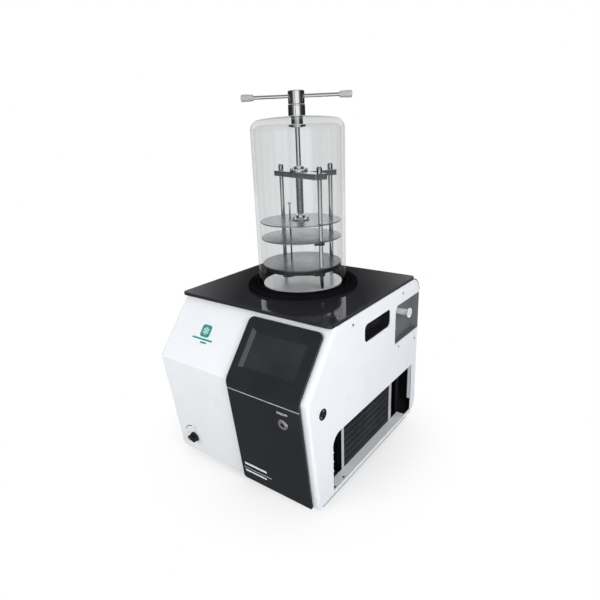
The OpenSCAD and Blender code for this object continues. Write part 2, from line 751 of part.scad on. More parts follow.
// ---------------------------------------------------------------- drain
knob_x = knob_in - side_x;
knob_gap = 0.5;
knob_foot_h = 7;
knob_turn = -11;
knob_bar = 11;
stem_in = 14;
valve_r = 14;
valve_l = 40;
valve_out = 27;
spout_at = front_wall + valve_out;
spout_in_r = spout_r - 0.5;
spout_step = 1;
spout_l = side_x + spout_out + knob_x - valve_r;
spout_y = nose_y - knob_s * chin_n[1] - spout_at * chin_n[0];
spout_z = nose_z + knob_s * chin_n[0] - spout_at * chin_n[1];
module drain_knob() color(BLACK) on_chin(knob_x, knob_s) {
    translate([0, 0, knob_gap]) cylinder(h = knob_foot_h, r1 = knob_r, r2 = knob_r - 1);
    translate([0, 0, knob_gap + knob_foot_h - eps]) intersection() {
        rotate(knob_turn) translate([-knob_r, -knob_bar / 2, 0]) cube([2 * knob_r, knob_bar,
            knob_h - knob_foot_h]);
        cylinder(h = knob_h, r = knob_r - 1);
    }
    translate([0, 0, -front_wall - stem_in]) cylinder(h = front_wall + stem_in + knob_gap + 1, r = stem_r);
}
module drain_valve() color([0.8, 0.65, 0.35]) difference() {
    union() {
        on_chin(knob_x, knob_s, -front_wall - valve_l) cylinder(h = valve_l, r = valve_r);
        translate([knob_x, spout_y, spout_z]) rotate([0, -90, 0]) cylinder(h = valve_r + 6,
            r = spout_r + 2);
    }
    on_chin(knob_x, knob_s, -front_wall - stem_in - 1) cylinder(h = stem_in + 2, r = stem_r + run_gap);
    translate([knob_x - valve_r, spout_y, spout_z]) rotate([0, -90, 0]) cylinder(h = 10, r = spout_in_r);
}
// Outlet tube, a little thicker where it stands out of the cover
module drain_spout() color(BLACK) translate([knob_x - valve_r, spout_y, spout_z]) rotate([0, -90,
    0]) rotate_extrude()
    polygon([[spout_bore_r, 0], [spout_in_r, 0], [spout_in_r, spout_l - spout_out + spout_step],
        [spout_r, spout_l - spout_out + spout_step], [spout_r, spout_l], [spout_bore_r, spout_l]]);

// Centre of the valve's back end, where the drain pipe joins
function chin_at(s, off) = [nose_y - s * chin_n[1] + off * chin_n[0],
    nose_z + s * chin_n[0] + off * chin_n[1]];
valve_end = chin_at(knob_s, -front_wall - valve_l);
valve_back = chin_at(knob_s, -front_wall - valve_l - 30);
pipe_drop = 22;

trap_floor = deck_z - trap_depth;
trap_low = trap_floor - trap_wall;
module pipe(route, r_out, r_in) {
    n = len(route) - 1;
    long = concat([route[0] - 2 * unit(route[1] - route[0])], [for (i = [1:n - 1]) route[i]],
        [route[n] + 2 * unit(route[n] - route[n - 1])]);
    difference() {
        swept_tube(route, r_out);
        swept_tube(long, r_in);
    }
}
// The pipe passes inside the front upright, then turns behind it to the valve
pipe_turn = [upright_x / -1.35, frame_front - 1.2 * bar, trap_low - foam_t - 3 * pipe_drop];
drain_route = bent([[0, chamber_y, trap_floor - 0.5], [0, chamber_y, trap_low - foam_t - pipe_drop],
    pipe_turn,
    [knob_x, valve_back[0] + pipe_drop / 2, pipe_turn[2] - 2.5 * pipe_drop],
    [knob_x, valve_back[0], valve_back[1]], [knob_x, valve_end[0], valve_end[1]]], pipe_drop);
module drain_pipe() color(CLEAR) pipe(drain_route, spout_r, spout_bore_r);

inlet_flange = 3;
pin_l = 22;
pin_w = 2;
inlet_l = 30;
module mains_inlet() color(BLACK) translate([inlet_x, back_y, inlet_z]) {
    difference() {
        union() {
            translate([-inlet_w / 2 - 6, 0, -inlet_h / 2 - 4]) cube([inlet_w + 12, inlet_flange,
                inlet_h + 8]);
            translate([0.3 - inlet_w / 2, -inlet_l, 0.3 - inlet_h / 2]) cube([inlet_w - 0.6, inlet_l + 1,
                inlet_h - 0.6]);
        }
        translate([-inlet_w / 2 + 10, -20, -inlet_h / 2 + 4]) cube([inlet_w - 20, 30, inlet_h - 8]);
    }
    for (x = [-7, 0, 7]) translate([x - pin_w / 2, inlet_flange - inlet_l, -1.5 * pin_w]) cube([pin_w,
        pin_l, 3 * pin_w]);
}

box_w = 200;
box_h = 85;
box_d = 42;
box_wall = 1.5;
box_y = frame_front - box_wall;
box_drop = 58;
box_z = rail_z - box_h - box_drop;
// Closed electrical box on a plate that spans the front uprights
module control_box() color(DULL) {
    translate([-upright_x - bar, box_y, box_z]) cube([2 * upright_x + 2 * bar, box_wall, box_h]);
    translate([-box_w / 2, box_y - box_d, box_z]) difference() {
        cube([box_w, box_d + eps, box_h]);
        translate([box_wall, box_wall, box_wall])
            cube([box_w - 2 * box_wall, box_d - 2 * box_wall, box_h - 2 * box_wall]);
    }
}

// ---------------------------------------------------------------- refrigeration
cond_x = side_x - window_fold - cond_t - 1;
cond_in = 88;
cond_y = window_y + cond_in;
cond_plate = 2;
cond_z = floor_z;
row_step = cond_h / (tube_rows + 1);
row_z = [for (i = [1:tube_rows]) cond_z + i * row_step];
cond_mid = cond_x + cond_t / 2;
tube_hole = tube_r + 0.1;
module cond_sheet(h, sides) {
    difference() {
        translate([cond_x, cond_z + (cond_h - h) / 2]) square([cond_t, h]);
        for (z = row_z) translate([cond_mid, z]) circle(tube_hole / cos(180 / sides), $fn = sides);
    }
}
// A sheet in the (x, z) plane, drawn out along +Y from y
module along_y(y, t) {
    translate([0, y + t, 0]) rotate([90, 0, 0]) linear_extrude(t) children();
}
module condenser_ends() color(STEEL) {
    for (y = [cond_y, cond_y + cond_l - cond_plate]) along_y(y, cond_plate) cond_sheet(cond_h, $fn);
    for (z = [cond_z, cond_z + cond_h - cond_plate])
        translate([cond_x, cond_y + cond_plate - eps, z]) cube([cond_t, cond_l - 2 * cond_plate + 2 * eps,
            cond_plate]);
}
fin_t = 0.8;
fin_step = (cond_l - 2 * cond_plate) / (fin_count + 1);
module condenser_fins() color(GREY)
    for (i = [1:fin_count]) along_y(cond_y + cond_plate + i * fin_step - fin_t / 2, fin_t)
        cond_sheet(cond_h - 2 * cond_plate - 1, 8);
tube_out = 5;
module condenser_tubes() color(COPPER) {
    for (z = row_z) translate([cond_mid, cond_y - tube_out, z]) rotate([-90, 0, 0])
        cylinder(h = cond_l + 2 * tube_out, r = tube_r);
    for (i = [0:tube_rows - 2]) {
        rear = i % 2 == 1;
        translate([cond_mid, rear ? cond_y + cond_l + tube_out : cond_y - tube_out,
            (row_z[i] + row_z[i + 1]) / 2])
            intersection() {
                rotate([0, 90, 0]) rotate_extrude($fn = 24) translate([row_step / 2, 0]) circle(tube_r,
                    $fn = 24);
                translate([-tube_r - 1, rear ? -eps : -row_step, -row_step]) cube([2 * tube_r + 2,
                    row_step + eps, 2 * row_step]);
            }
    }
}

fan_gap = 2;
shroud_d = 32;
shroud_t = 2;
shroud_x = cond_x - shroud_d;
fan_y = cond_y + cond_l / 2;
fan_z = cond_z + cond_h / 2;
shroud_w = 2 * fan_r + 16;
module fan_shroud() color(DULL) translate([shroud_x, fan_y, fan_z]) rotate([0, 90, 0]) {
    difference() {
        translate([-cond_h / 2, -shroud_w / 2, shroud_d - shroud_t]) cube([cond_h, shroud_w, shroud_t]);
        cylinder(h = shroud_d + 1, r = fan_r + fan_gap);
    }
    ring(fan_r + fan_gap + shroud_t, fan_r + fan_gap, shroud_d);
}
motor_r = 30;
motor_l = 46;
shaft_fan_r = 4;
hub_fan_r = 18;
hub_fan_l = 18;
motor_x = shroud_x - 10;
arm_w = 10;
module fan_motor() color(BLACK) translate([motor_x, fan_y, fan_z]) rotate([0, 90, 0]) {
    translate([0, 0, -motor_l]) difference() {
        cylinder(h = motor_l, r = motor_r);
        translate([0, 0, motor_l - 20]) cylinder(h = 21, r = shaft_fan_r + run_gap);
    }
    for (a = [45:90:315]) rotate(a) translate([motor_r - 1, -arm_w / 2, -4]) {
        cube([fan_r + fan_gap + shroud_t - motor_r + 1, arm_w, 4]);
        translate([fan_r + fan_gap - motor_r + 1, 0, 0]) cube([shroud_t, arm_w, shroud_x - motor_x + 4]);
    }
}
blade_pitch = 32;
blade_w = 44;
module fan_blades() color(GREY) translate([motor_x, fan_y, fan_z]) rotate([0, 90, 0]) {
    translate([0, 0, -18]) cylinder(h = 24, r = shaft_fan_r);
    translate([0, 0, 5]) cylinder(h = hub_fan_l, r = hub_fan_r);
    for (i = [0:blade_count - 1]) rotate(i * 360 / blade_count) intersection() {
        translate([hub_fan_r - 2, 0, 5 + hub_fan_l / 2]) rotate([blade_pitch, 0, 0])
            translate([0, -blade_w / 2, -0.75]) cube([fan_r, blade_w, 1.5]);
        cylinder(h = 50, r = fan_r);
    }
}

comp_pos = [-85, chamber_y + 50];
mount_h = 14;
mount_r = 10;
comp_foot = [190, 130, 3];
comp_z = floor_z + mount_h;
dome = 34;
stub_ring = comp_r / 2;
module at_compressor(z) {
    translate([comp_pos[0], comp_pos[1], z]) children();
}
module compressor() color(BLACK) at_compressor(comp_z) {
    difference() {
        translate([-comp_foot[0] / 2, -comp_foot[1] / 2, 0]) cube(comp_foot);
        for (x = [-1, 1] * (comp_foot[0] / 2 - 15), y = [-1, 1] * (comp_foot[1] / 2 - 15))
            translate([x, y, -1]) cylinder(h = comp_foot[2] + 2, r = mount_r / 2 + 0.3);
    }
    for (s = [-1, 1]) translate([s * stub_ring, -stub_ring, comp_h - 40]) cylinder(h = 40,
        r = line_r + 1.5);
    rotate_extrude() polygon(concat([[0, 2], [comp_r - 18, 2], [comp_r, 20], [comp_r, comp_h / 2],
        [comp_r + 4, comp_h / 2], [comp_r + 4, comp_h / 2 + 4], [comp_r, comp_h / 2 + 4]],
        [for (i = [0:6]) [comp_r * cos(i * 15), comp_h - dome + dome * sin(i * 15)]]));
}
module compressor_mounts() color(RUBBER)
    for (x = [-1, 1] * (comp_foot[0] / 2 - 15), y = [-1, 1] * (comp_foot[1] / 2 - 15))
        at_compressor(floor_z) translate([x, y, 0]) {
            cylinder(h = mount_h, r = mount_r);
            cylinder(h = mount_h + comp_foot[2] + 3, r = mount_r / 2);
        }

line_r = 4;
line_in_r = 3;
coil_low = trap_low + 16;
coil_high = port_z - port_r - 2 * coil_r - 4;
coil_per_turn = 18;
coil_step = 360 / coil_per_turn;
coil_ring = (trap_r + trap_wall + coil_r + 0.4) / cos(coil_step / 2);
foam_in = coil_ring + coil_r + 0.6;
foam_out = foam_in + foam_t;
coil_exit_r = 2 * coil_r + 2;
feed_angle = -160;
feed_out = foam_out + 8;
function around(a, r, z) = [r * cos(a), chamber_y + r * sin(a), z];
coil_steps = coil_turns * coil_per_turn + 2;
suction_angle = feed_angle + coil_steps * coil_step;
coil_route = concat([around(feed_angle, feed_out, coil_low), around(feed_angle, coil_ring + 9, coil_low),
    around(feed_angle + 5, coil_ring + 1, coil_low)],
    [for (i = [1:coil_steps - 1]) around(feed_angle + i * coil_step, coil_ring,
        coil_low + (coil_high - coil_low) * i / coil_steps)],
    [around(suction_angle - 5, coil_ring + 1, coil_high), around(suction_angle, coil_ring + 9, coil_high),
    around(suction_angle, feed_out, coil_high)]);
module evaporator_coil() color(COPPER) swept_tube(coil_route, coil_r);

vac_angle = 55;
module radial_hole(a, z, r) {
    at_chamber(z) rotate(a) translate([trap_r, 0, 0]) rotate([0, 90, 0]) cylinder(h = foam_out, r = r);
}
foam_low = trap_low - foam_t;
foam_joint = 0.3;
module trap_insulation() color([0.9, 0.85, 0.6]) difference() {
    union() {
        at_chamber() rotate_extrude() polygon([[foam_in, foam_low], [foam_out - 8, foam_low],
            [foam_out, foam_low + 8], [foam_out, top_z - bar_t], [foam_in, top_z - bar_t]]);
        at_chamber(foam_low) cylinder(h = foam_t, r = foam_in - foam_joint);
    }
    at_chamber(foam_low - 1) cylinder(h = foam_t + 2, r = spout_r + 0.5);
    radial_hole(vac_angle, port_z, port_r + 0.5);
    radial_hole(feed_angle, coil_low, coil_exit_r);
    radial_hole(suction_angle, coil_high, coil_exit_r);
}

module stud_holes(z) {
    at_chamber(z) for (i = [0:2]) at_post(i) cylinder(h = bridge_t + 10, r = stud_r);
}
disc_r = bell_r - bell_wall - 3;
flange_r = disc_r - 1;
trap_flange_t = 4;
module trap_vessel() color(STEEL) difference() {
    at_chamber() rotate_extrude() polygon([[0, trap_low], [trap_r + trap_wall, trap_low],
        [trap_r + trap_wall, deck_z], [flange_r, deck_z], [flange_r, deck_z + trap_flange_t],
        [trap_r, deck_z + trap_flange_t], [trap_r, trap_floor], [0, trap_floor]]);
    at_chamber(trap_low - 1) cylinder(h = trap_wall + 2, r = spout_r);
    stud_holes(deck_z - 1);
    at_chamber(port_z) rotate(vac_angle) translate([trap_r - 10, 0, 0]) rotate([0, 90, 0])
        cylinder(h = 20, r = port_r);
}

port_end = [port_x - port_len, port_y, port_z];
vac_start = trap_r + trap_wall / 2;
vac_route = bent([around(vac_angle, vac_start, port_z), around(vac_angle, vac_start + 75, port_z),
    port_end - [45, 0, 0], port_end], 20);
module vacuum_pipe() color(STEEL) pipe(vac_route, port_r - 0.1, port_bore_r - 1);

drier_r = 11;
drier_l = 80;
drier_pos = [95, chamber_y + 140, low_z + 60];
module filter_drier() color(COPPER) translate(drier_pos) rotate_extrude() polygon([[0, 0], [line_r, 0],
    [line_r, 10],
    [drier_r, 20], [drier_r, drier_l - 20], [line_r, drier_l - 10], [line_r, drier_l], [0, drier_l]]);

line_bend = 14;
line_lead = 22;
module refrigerant_lines() color(COPPER) {
    stubs_z = comp_z + comp_h;
    gas_out = [comp_pos[0] + stub_ring, comp_pos[1] - stub_ring, stubs_z];
    gas_back = [comp_pos[0] - stub_ring, comp_pos[1] - stub_ring, stubs_z];
    tubes_y = cond_y + cond_l + tube_out;
    hot = [cond_mid, tubes_y, row_z[tube_rows - 1]];
    liquid = [cond_mid, tubes_y, row_z[0]];
    drier_top = drier_pos + [0, 0, drier_l];
    side_route = back_y - 90;
    for (route = [
        [gas_out, gas_out + [0, 0, 28], [60, tubes_y + 30, stubs_z + 28], hot + [0, 30, 0], hot],
        [liquid, liquid + [0, 24, 0], [drier_pos[0], tubes_y + 24, low_z + 25], drier_pos - [0, 0, 30],
            drier_pos],
        [drier_top, drier_top + [0, 0, 35], [10, side_route, drier_top[2] + 35],
            [-drier_pos[0] - 58, side_route, coil_low - 40],
            around(feed_angle, feed_out + line_lead, coil_low - 40),
            around(feed_angle, feed_out + line_lead, coil_low),
            around(feed_angle, feed_out, coil_low)],
        [gas_back, gas_back + [0, 0, 26], around(suction_angle - 5, feed_out + line_lead, stubs_z + 44),
            around(suction_angle, feed_out + line_lead, coil_high), around(suction_angle, feed_out,
                coil_high)]])
        pipe(bent(route, line_bend), line_r, line_in_r);
}

// ---------------------------------------------------------------- chamber
vapour_r = 20;
vapour_ring = 70;
vapour_mid = 127;
vapour_step = 38;
module trap_disc() color(STEEL) at_chamber(deck_z + trap_flange_t) difference() {
    cylinder(h = disc_z - trap_flange_t, r = disc_r);
    for (i = [-1:1]) rotate(vapour_mid + i * vapour_step) translate([vapour_ring, 0, -1])
        cylinder(h = disc_z, r = vapour_r);
    for (i = [0:2]) at_post(i) translate([0, 0, -1]) cylinder(h = disc_z, r = stud_r);
}
seal_round = 6;
module chamber_seal() color(RUBBER) at_chamber(deck_z) rotate_extrude() polygon(concat(
    [[disc_r, 0], [seal_r, 0], [seal_r, seal_h - seal_round - 2]],
    arc([seal_r - seal_round, seal_h - seal_round], seal_round, 0, 90, 6),
    [[bell_r + 4, seal_h], [bell_r + 0.3, seal_h - 2], [bell_r + 0.3, seal_lip], [disc_r, seal_lip]]));

bell_top_z = deck_z + bell_h;
shoulder_z = bell_top_z - bell_crown;
roof_low = shoulder_z - bell_top;
gland_neck_r = 16;
inner_round = 18;
boss_r = gland_r + 1;
crown_reach = bell_r - shoulder_r - boss_r;
crown_r = (crown_reach * crown_reach + bell_crown * (bell_crown + 2 * shoulder_r)) / (2 * bell_crown);
crown_tilt = atan(crown_reach / (crown_r - shoulder_r - bell_crown));
module clear_bell() color(CLEAR) at_chamber() rotate_extrude() polygon(concat(
    [[bell_r - bell_wall, deck_z + seal_lip], [bell_r, deck_z + seal_lip]],
    arc([bell_r - shoulder_r, shoulder_z - shoulder_r], shoulder_r, 0, 90 - crown_tilt),
    arc([boss_r, bell_top_z - crown_r], crown_r, 90 - 0.8 * crown_tilt, 90, 4),
    [[gland_neck_r + 0.3, bell_top_z], [gland_neck_r + 0.3, roof_low]],
    arc([bell_r - bell_wall - inner_round, roof_low - inner_round], inner_round, 90, 0)));

gasket_t = 1;
gland_nut_h = 6;
gland_z = bell_top_z + gasket_t;
gland_low = roof_low - gasket_t - gland_nut_h;
module gland_body() color(STEEL) at_chamber() rotate_extrude() polygon([
    [shaft_r + run_gap, gland_low - 1], [gland_neck_r, gland_low - 1], [gland_neck_r, gland_z],
    [gland_r, gland_z], [gland_r, gland_z + gland_h - 1.5], [gland_r - 1.5, gland_z + gland_h],
    [shaft_r + run_gap, gland_z + gland_h]]);
module gland_nut() color(STEEL) at_chamber(gland_low) ring(gland_r, gland_neck_r, gland_nut_h);
module gland_seals() color(RUBBER) at_chamber() {
    translate([0, 0, bell_top_z]) ring(gland_r - 0.5, gland_neck_r, gasket_t);
    translate([0, 0, roof_low - gasket_t]) ring(gland_r - 0.5, gland_neck_r, gasket_t);
}

// ---------------------------------------------------------------- press
bridge_top = deck_z + bridge_z;
bridge_low = bridge_top - bridge_t;
press_top = deck_z + press_z;
hub_top = press_top + hub_h;
thread_top = bridge_top + nut_h;
hub_z = gland_z + gland_h + 0.5;
rod_z = hub_z + handle_hub_h * 0.58;
shaft_top = rod_z - rod_r - 2;
journal_r = screw_r - 3.5;
module press_screw() color(STEEL) at_chamber() rotate_extrude() polygon([
    [0, press_top + 3], [journal_r, press_top + 3], [journal_r, hub_top + 0.5], [screw_r - 1.5,
        hub_top + 0.5],
    [screw_r, hub_top + 2], [screw_r, thread_top - 1.5], [screw_r - 1.5, thread_top], [shaft_r, thread_top],
    [shaft_r, shaft_top], [0, shaft_top]]);
module handle_hub() color(STEEL) difference() {
    at_chamber() rotate_extrude() polygon([[0, shaft_top], [shaft_r, shaft_top], [shaft_r, hub_z],
        [handle_hub_r, hub_z], [handle_hub_r, hub_z + handle_hub_h - 1.5], [handle_hub_r - 1.5,
            hub_z + handle_hub_h],
        [0, hub_z + handle_hub_h]]);
    at_chamber(rod_z) rotate(handle_angle) rotate([0, 90, 0]) translate([0, 0, -handle_hub_r - 1])
        cylinder(h = 2 * handle_hub_r + 2, r = rod_r);
}
rod_in_grip = 22;
module along_handle(from, l) {
    at_chamber(rod_z) rotate(handle_angle) rotate([0, 90, 0]) translate([0, 0, from]) children();
}
rod_l = handle_l - 2 * handle_grip_l + 2 * rod_in_grip;
module handle_rod() color(STEEL) along_handle(-rod_l / 2, rod_l) cylinder(h = rod_l, r = rod_r);
module handle_grips() color([0.8, 0.8, 0.74]) for (s = [0, 180])
    at_chamber(rod_z) rotate(handle_angle + s) rotate([0, 90, 0]) translate([0, 0,
        handle_l / 2 - handle_grip_l])
        rotate_extrude() polygon([[rod_r, 0], [handle_grip_r - 2, 0], [handle_grip_r - 1, 1],
            [handle_grip_r, handle_grip_l - 2], [handle_grip_r - 2, handle_grip_l], [0, handle_grip_l],
            [0, rod_in_grip], [rod_r, rod_in_grip]]);

stud_r = 4.5;
nut_spigot = 15;
bridge_over = 10;
module bridge() color(STEEL) at_chamber(bridge_low) difference() {
    rotate(post_angle) {
        translate([-post_ring - bridge_over, -bridge_w / 2, 0])
            cube([2 * post_ring + 2 * bridge_over, bridge_w, bridge_t]);
        rotate(-90) translate([0, -bridge_w / 2, 0]) cube([post_ring + bridge_over, bridge_w, bridge_t]);
    }
    translate([0, 0, -1]) cylinder(h = bridge_t + 2, r = nut_spigot);
    for (i = [0:2]) at_post(i) translate([0, 0, -1]) cylinder(h = bridge_t + 2, r = stud_r);
}
nut_flange_t = 6;
bolt_count = 4;
module bridge_nut() color(STEEL) at_chamber(bridge_low) {
    rotate_extrude() polygon([[screw_r + run_gap, 0], [nut_spigot, 0], [nut_spigot, bridge_t], [nut_r,
        bridge_t],
        [nut_r, bridge_t + nut_flange_t], [nut_spigot, bridge_t + nut_flange_t], [nut_spigot - 1,
            bridge_t + nut_h],
        [screw_r + run_gap, bridge_t + nut_h]]);
    for (i = [0:bolt_count - 1]) rotate(handle_angle + i * 360 / bolt_count)
        translate([(nut_r + nut_spigot) / 2, 0, bridge_t + nut_flange_t - 1]) cylinder(h = 5, r = 4);
}
cap_r = 7.5;
stud_up = 12;
module press_posts() color(STEEL) at_chamber(deck_z) for (i = [0:2]) at_post(i) {
    translate([0, 0, disc_z]) cylinder(h = bridge_z - bridge_t - disc_z, r = post_r);
    cylinder(h = bridge_z + stud_up, r = stud_r);
}
module dome_nuts() color(STEEL) at_chamber(bridge_top) for (i = [0:2]) at_post(i) rotate_extrude()
    polygon(concat([[stud_r, 0], [cap_r, 0]], arc([0, cap_h - cap_r], cap_r, 0, 90, 8), [[0, stud_up],
        [stud_r, stud_up]]));

probe_pos = [-43, 5];
probe_cap_r = 4.5;
// Round plate with holes for the posts and, where probe_hole is not 0, for the probe; its top is at z
module drilled_plate(z, t, r, probe_hole) {
    at_chamber(z - t) difference() {
        cylinder(h = t, r = r);
        for (i = [0:2]) at_post(i) translate([0, 0, -1]) cylinder(h = t + 2, r = post_r + post_gap);
        translate([probe_pos[0], probe_pos[1], -1]) cylinder(h = probe_hole > 0 ? t + 2 : eps,
            r = max(probe_hole, eps));
    }
}
module press_plate() color(STEEL) drilled_plate(press_top, plate_t, plate_r, probe_cap_r + post_gap);
hub_foot_t = 4;
module swivel_hub() color(STEEL) at_chamber(press_top) {
    rotate_extrude() polygon([[0, 0], [nut_r, 0], [nut_r, hub_foot_t], [hub_r + 2, hub_foot_t], [hub_r,
        hub_foot_t + 2],
        [hub_r, hub_h], [journal_r + run_gap, hub_h], [journal_r + run_gap, 2.5], [0, 2.5]]);
    for (i = [0:bolt_count - 1]) rotate(handle_angle + i * 360 / bolt_count)
        translate([(nut_r + hub_r + 2) / 2, 0, hub_foot_t - 1]) cylinder(h = 5, r = 3.5);
}
module upper_shelf() color(STEEL) drilled_plate(deck_z + upper_z, plate_t, plate_r, probe_r + post_gap);
module lower_shelf() color(STEEL) drilled_plate(deck_z + lower_z, plate_t, plate_r - 0.5, 0);
module shelf_heater() color(BLACK) drilled_plate(deck_z + lower_z - plate_t, heater_t, plate_r - 1, 0);
clamp_levels = [upper_z - plate_t - clamp_h, lower_z - plate_t - heater_t - clamp_h];
clamp_screw_r = 2;
module shelf_clamps() color(BLACK) for (z = clamp_levels, i = [0:2]) at_chamber(deck_z + z)
    at_post(i) difference() {
    ring(clamp_r, post_r, clamp_h);
    translate([0, 0, clamp_h / 2]) rotate([90, 0, 0]) cylinder(h = clamp_r + 1, r = clamp_screw_r);
}
module thumb_screws() color(BLACK) for (z = clamp_levels, i = [0:2]) at_chamber(deck_z + z) at_post(i)
    translate([0, 0, clamp_h / 2]) rotate([90, 0, 0]) {
        translate([0, 0, post_r]) cylinder(h = 10, r = clamp_screw_r);
        translate([0, 0, clamp_r + 0.5]) cylinder(h = 9, r = clamp_h / 2);
    }
module product_probe() color(STEEL) at_chamber(deck_z) translate([probe_pos[0], probe_pos[1], 0]) {
    translate([0, 0, lower_z]) cylinder(h = probe_z - lower_z, r = probe_r);
    translate([0, 0, probe_z - 6]) cylinder(h = 6, r = probe_cap_r);
}

// ---------------------------------------------------------------- drawing
base_tray();
rubber_feet();
chassis_frame();
front_shell();
side_cover_left();
side_cover_right();
rear_cover();
top_plate();
cover_screws();
hand_cups();
port_pocket();
pump_port();
round_socket();
control_panel();
touch_screen();
trim_strip();
button_bezel();
power_button();
drain_knob();
drain_valve();
drain_pipe();
drain_spout();
mains_inlet();
control_box();
condenser_ends();
condenser_fins();
condenser_tubes();
fan_shroud();
fan_motor();
fan_blades();
compressor();
compressor_mounts();
refrigerant_lines();
filter_drier();
trap_vessel();
evaporator_coil();
trap_insulation();
vacuum_pipe();
trap_disc();
chamber_seal();
clear_bell();
gland_body();
gland_nut();
gland_seals();
press_screw();
handle_hub();
handle_rod();
handle_grips();
bridge();
bridge_nut();
press_posts();
dome_nuts();
press_plate();
swivel_hub();
upper_shelf();
lower_shelf();
shelf_heater();
shelf_clamps();
thumb_screws();
product_probe();
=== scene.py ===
"""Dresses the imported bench-top freeze dryer for rendering.

Every length in the classes below is in millimetres; the building tools turn them into metres. The frame is that of
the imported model: +Z up, the front faces -Y, the origin lies on the floor under the middle of the cabinet.
"""
import logging
import math
from dataclasses import dataclass
from enum import Enum
from functools import lru_cache
from typing import Callable, Optional, Sequence

import bpy
from mathutils import Matrix, Vector


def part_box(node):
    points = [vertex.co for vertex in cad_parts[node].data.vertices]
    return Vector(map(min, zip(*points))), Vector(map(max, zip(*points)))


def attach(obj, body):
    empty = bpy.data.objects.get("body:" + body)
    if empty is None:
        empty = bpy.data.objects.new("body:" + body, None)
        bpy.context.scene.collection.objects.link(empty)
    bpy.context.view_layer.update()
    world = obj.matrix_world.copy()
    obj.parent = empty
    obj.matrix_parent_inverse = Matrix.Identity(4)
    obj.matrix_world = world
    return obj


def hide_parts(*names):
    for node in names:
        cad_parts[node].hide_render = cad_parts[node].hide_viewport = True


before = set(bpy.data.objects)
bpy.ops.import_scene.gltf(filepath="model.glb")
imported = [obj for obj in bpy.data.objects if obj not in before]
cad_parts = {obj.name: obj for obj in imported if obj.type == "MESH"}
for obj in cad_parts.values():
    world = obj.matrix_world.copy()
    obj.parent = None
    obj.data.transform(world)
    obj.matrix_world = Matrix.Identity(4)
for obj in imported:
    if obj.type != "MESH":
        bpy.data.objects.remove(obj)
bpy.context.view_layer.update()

log = logging.getLogger("freeze_dryer")
MM = 0.001
Point = tuple[float, float, float]
Flat = tuple[float, float]
Colour = tuple[float, float, float]
Object = bpy.types.Object
Face = bpy.types.MeshPolygon
Socket = bpy.types.NodeSocket


def move(x: float, y: float, z: float) -> Matrix:
    """A shift given in millimetres."""
    return Matrix.Translation(Vector((x, y, z)) * MM)


def rotate(degrees: float, axis: str = "Z") -> Matrix:
    """A turn round an axis through the origin."""
    return Matrix.Rotation(math.radians(degrees), 4, axis)


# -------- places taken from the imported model
@dataclass(frozen=True)
class Place:
    """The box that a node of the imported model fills, in millimetres."""

    lo: Point
    hi: Point

    @classmethod
    def of(cls, node: str) -> "Place":
        """Reads the box of a node."""
        low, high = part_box(node)
        return cls(tuple(v / MM for v in low), tuple(v / MM for v in high))

    @property
    def mid(self) -> Point:
        """The middle of the box."""
        return tuple((a + b) / 2 for a, b in zip(self.lo, self.hi))

    @property
    def size(self) -> Point:
        """The three lengths of the box."""
        return tuple(b - a for a, b in zip(self.lo, self.hi))


@dataclass(frozen=True)
class FrontPlane:
    """One of the two sloping faces of the front, met at the nose.

    A place on it is x from the middle, s along the face away from the nose, and off outwards from the face.
    """

    nose: Flat
    run: float
    rise: float

    @property
    def along(self) -> Flat:
        """Unit vector along the face, away from the nose, as (y, z)."""
        length = math.hypot(self.run, self.rise)
        return (self.run / length, self.rise / length)

    @property
    def normal(self) -> Flat:
        """Unit vector outwards from the face, as (y, z)."""
        y, z = self.along
        return (-z, y) if z > 0 else (z, -y)

    def at(self, x: float, s: float, off: float = 0.0) -> Point:
        """The point at a place on the face."""
        (ay, az), (ny, nz) = self.along, self.normal
        return (x, self.nose[0] + s * ay + off * ny, self.nose[1] + s * az + off * nz)

    def turn(self) -> Matrix:
        """The rotation that brings +Z onto the outward normal and +Y up the face."""
        ny, nz = self.normal
        return Matrix.Rotation(math.atan2(-ny, nz), 4, "X")

    def frame_at(self, x: float, s: float, off: float = 0.0) -> Matrix:
        """The matrix that sets a piece modelled flat on the floor onto the face, in metres."""
        return move(*self.at(x, s, off)) @ self.turn()


DECK = Place.of("top_plate")
COVER = Place.of("side_cover_right")
FRONT = Place.of("front_shell")
BELL = Place.of("clear_bell")
FLOOR_Z = FRONT.lo[2]
TOP_Z = COVER.hi[2]
DECK_Z = DECK.hi[2]
SIDE_X = COVER.hi[0]
BACK_Y = COVER.hi[1]
NOSE = (-310.0, 342.0)
BROW = FrontPlane(NOSE, 124.0, 154.0)
CHIN = FrontPlane(NOSE, 38.0, -327.0)
AXIS_Y = BELL.mid[1]
AXIS: Point = (0.0, AXIS_Y, 0.0)


def meet(brow_off: float, chin_off: float) -> Flat:
    """The point (y, z) where the two faces meet after each is moved outwards."""
    (a, b), (c, d) = BROW.normal, CHIN.normal
    p = a * NOSE[0] + b * NOSE[1] + brow_off
    q = c * NOSE[0] + d * NOSE[1] + chin_off
    det = a * d - b * c
    return ((p * d - q * b) / det, (a * q - c * p) / det)


def level(plane: FrontPlane, off: float, z: float) -> Flat:
    """The point (y, z) where a face, moved outwards by off, reaches the height z."""
    ny, nz = plane.normal
    return ((ny * NOSE[0] + nz * NOSE[1] + off - nz * z) / ny, z)


def arc(centre: Flat, radius: float, start: float, end: float, steps: int = 10) -> list[Flat]:
    """Points of an arc from one angle to another, in degrees, both ends included."""
    angles = [math.radians(start + (end - start) * i / steps) for i in range(steps + 1)]
    return [(centre[0] + radius * math.cos(a), centre[1] + radius * math.sin(a)) for a in angles]


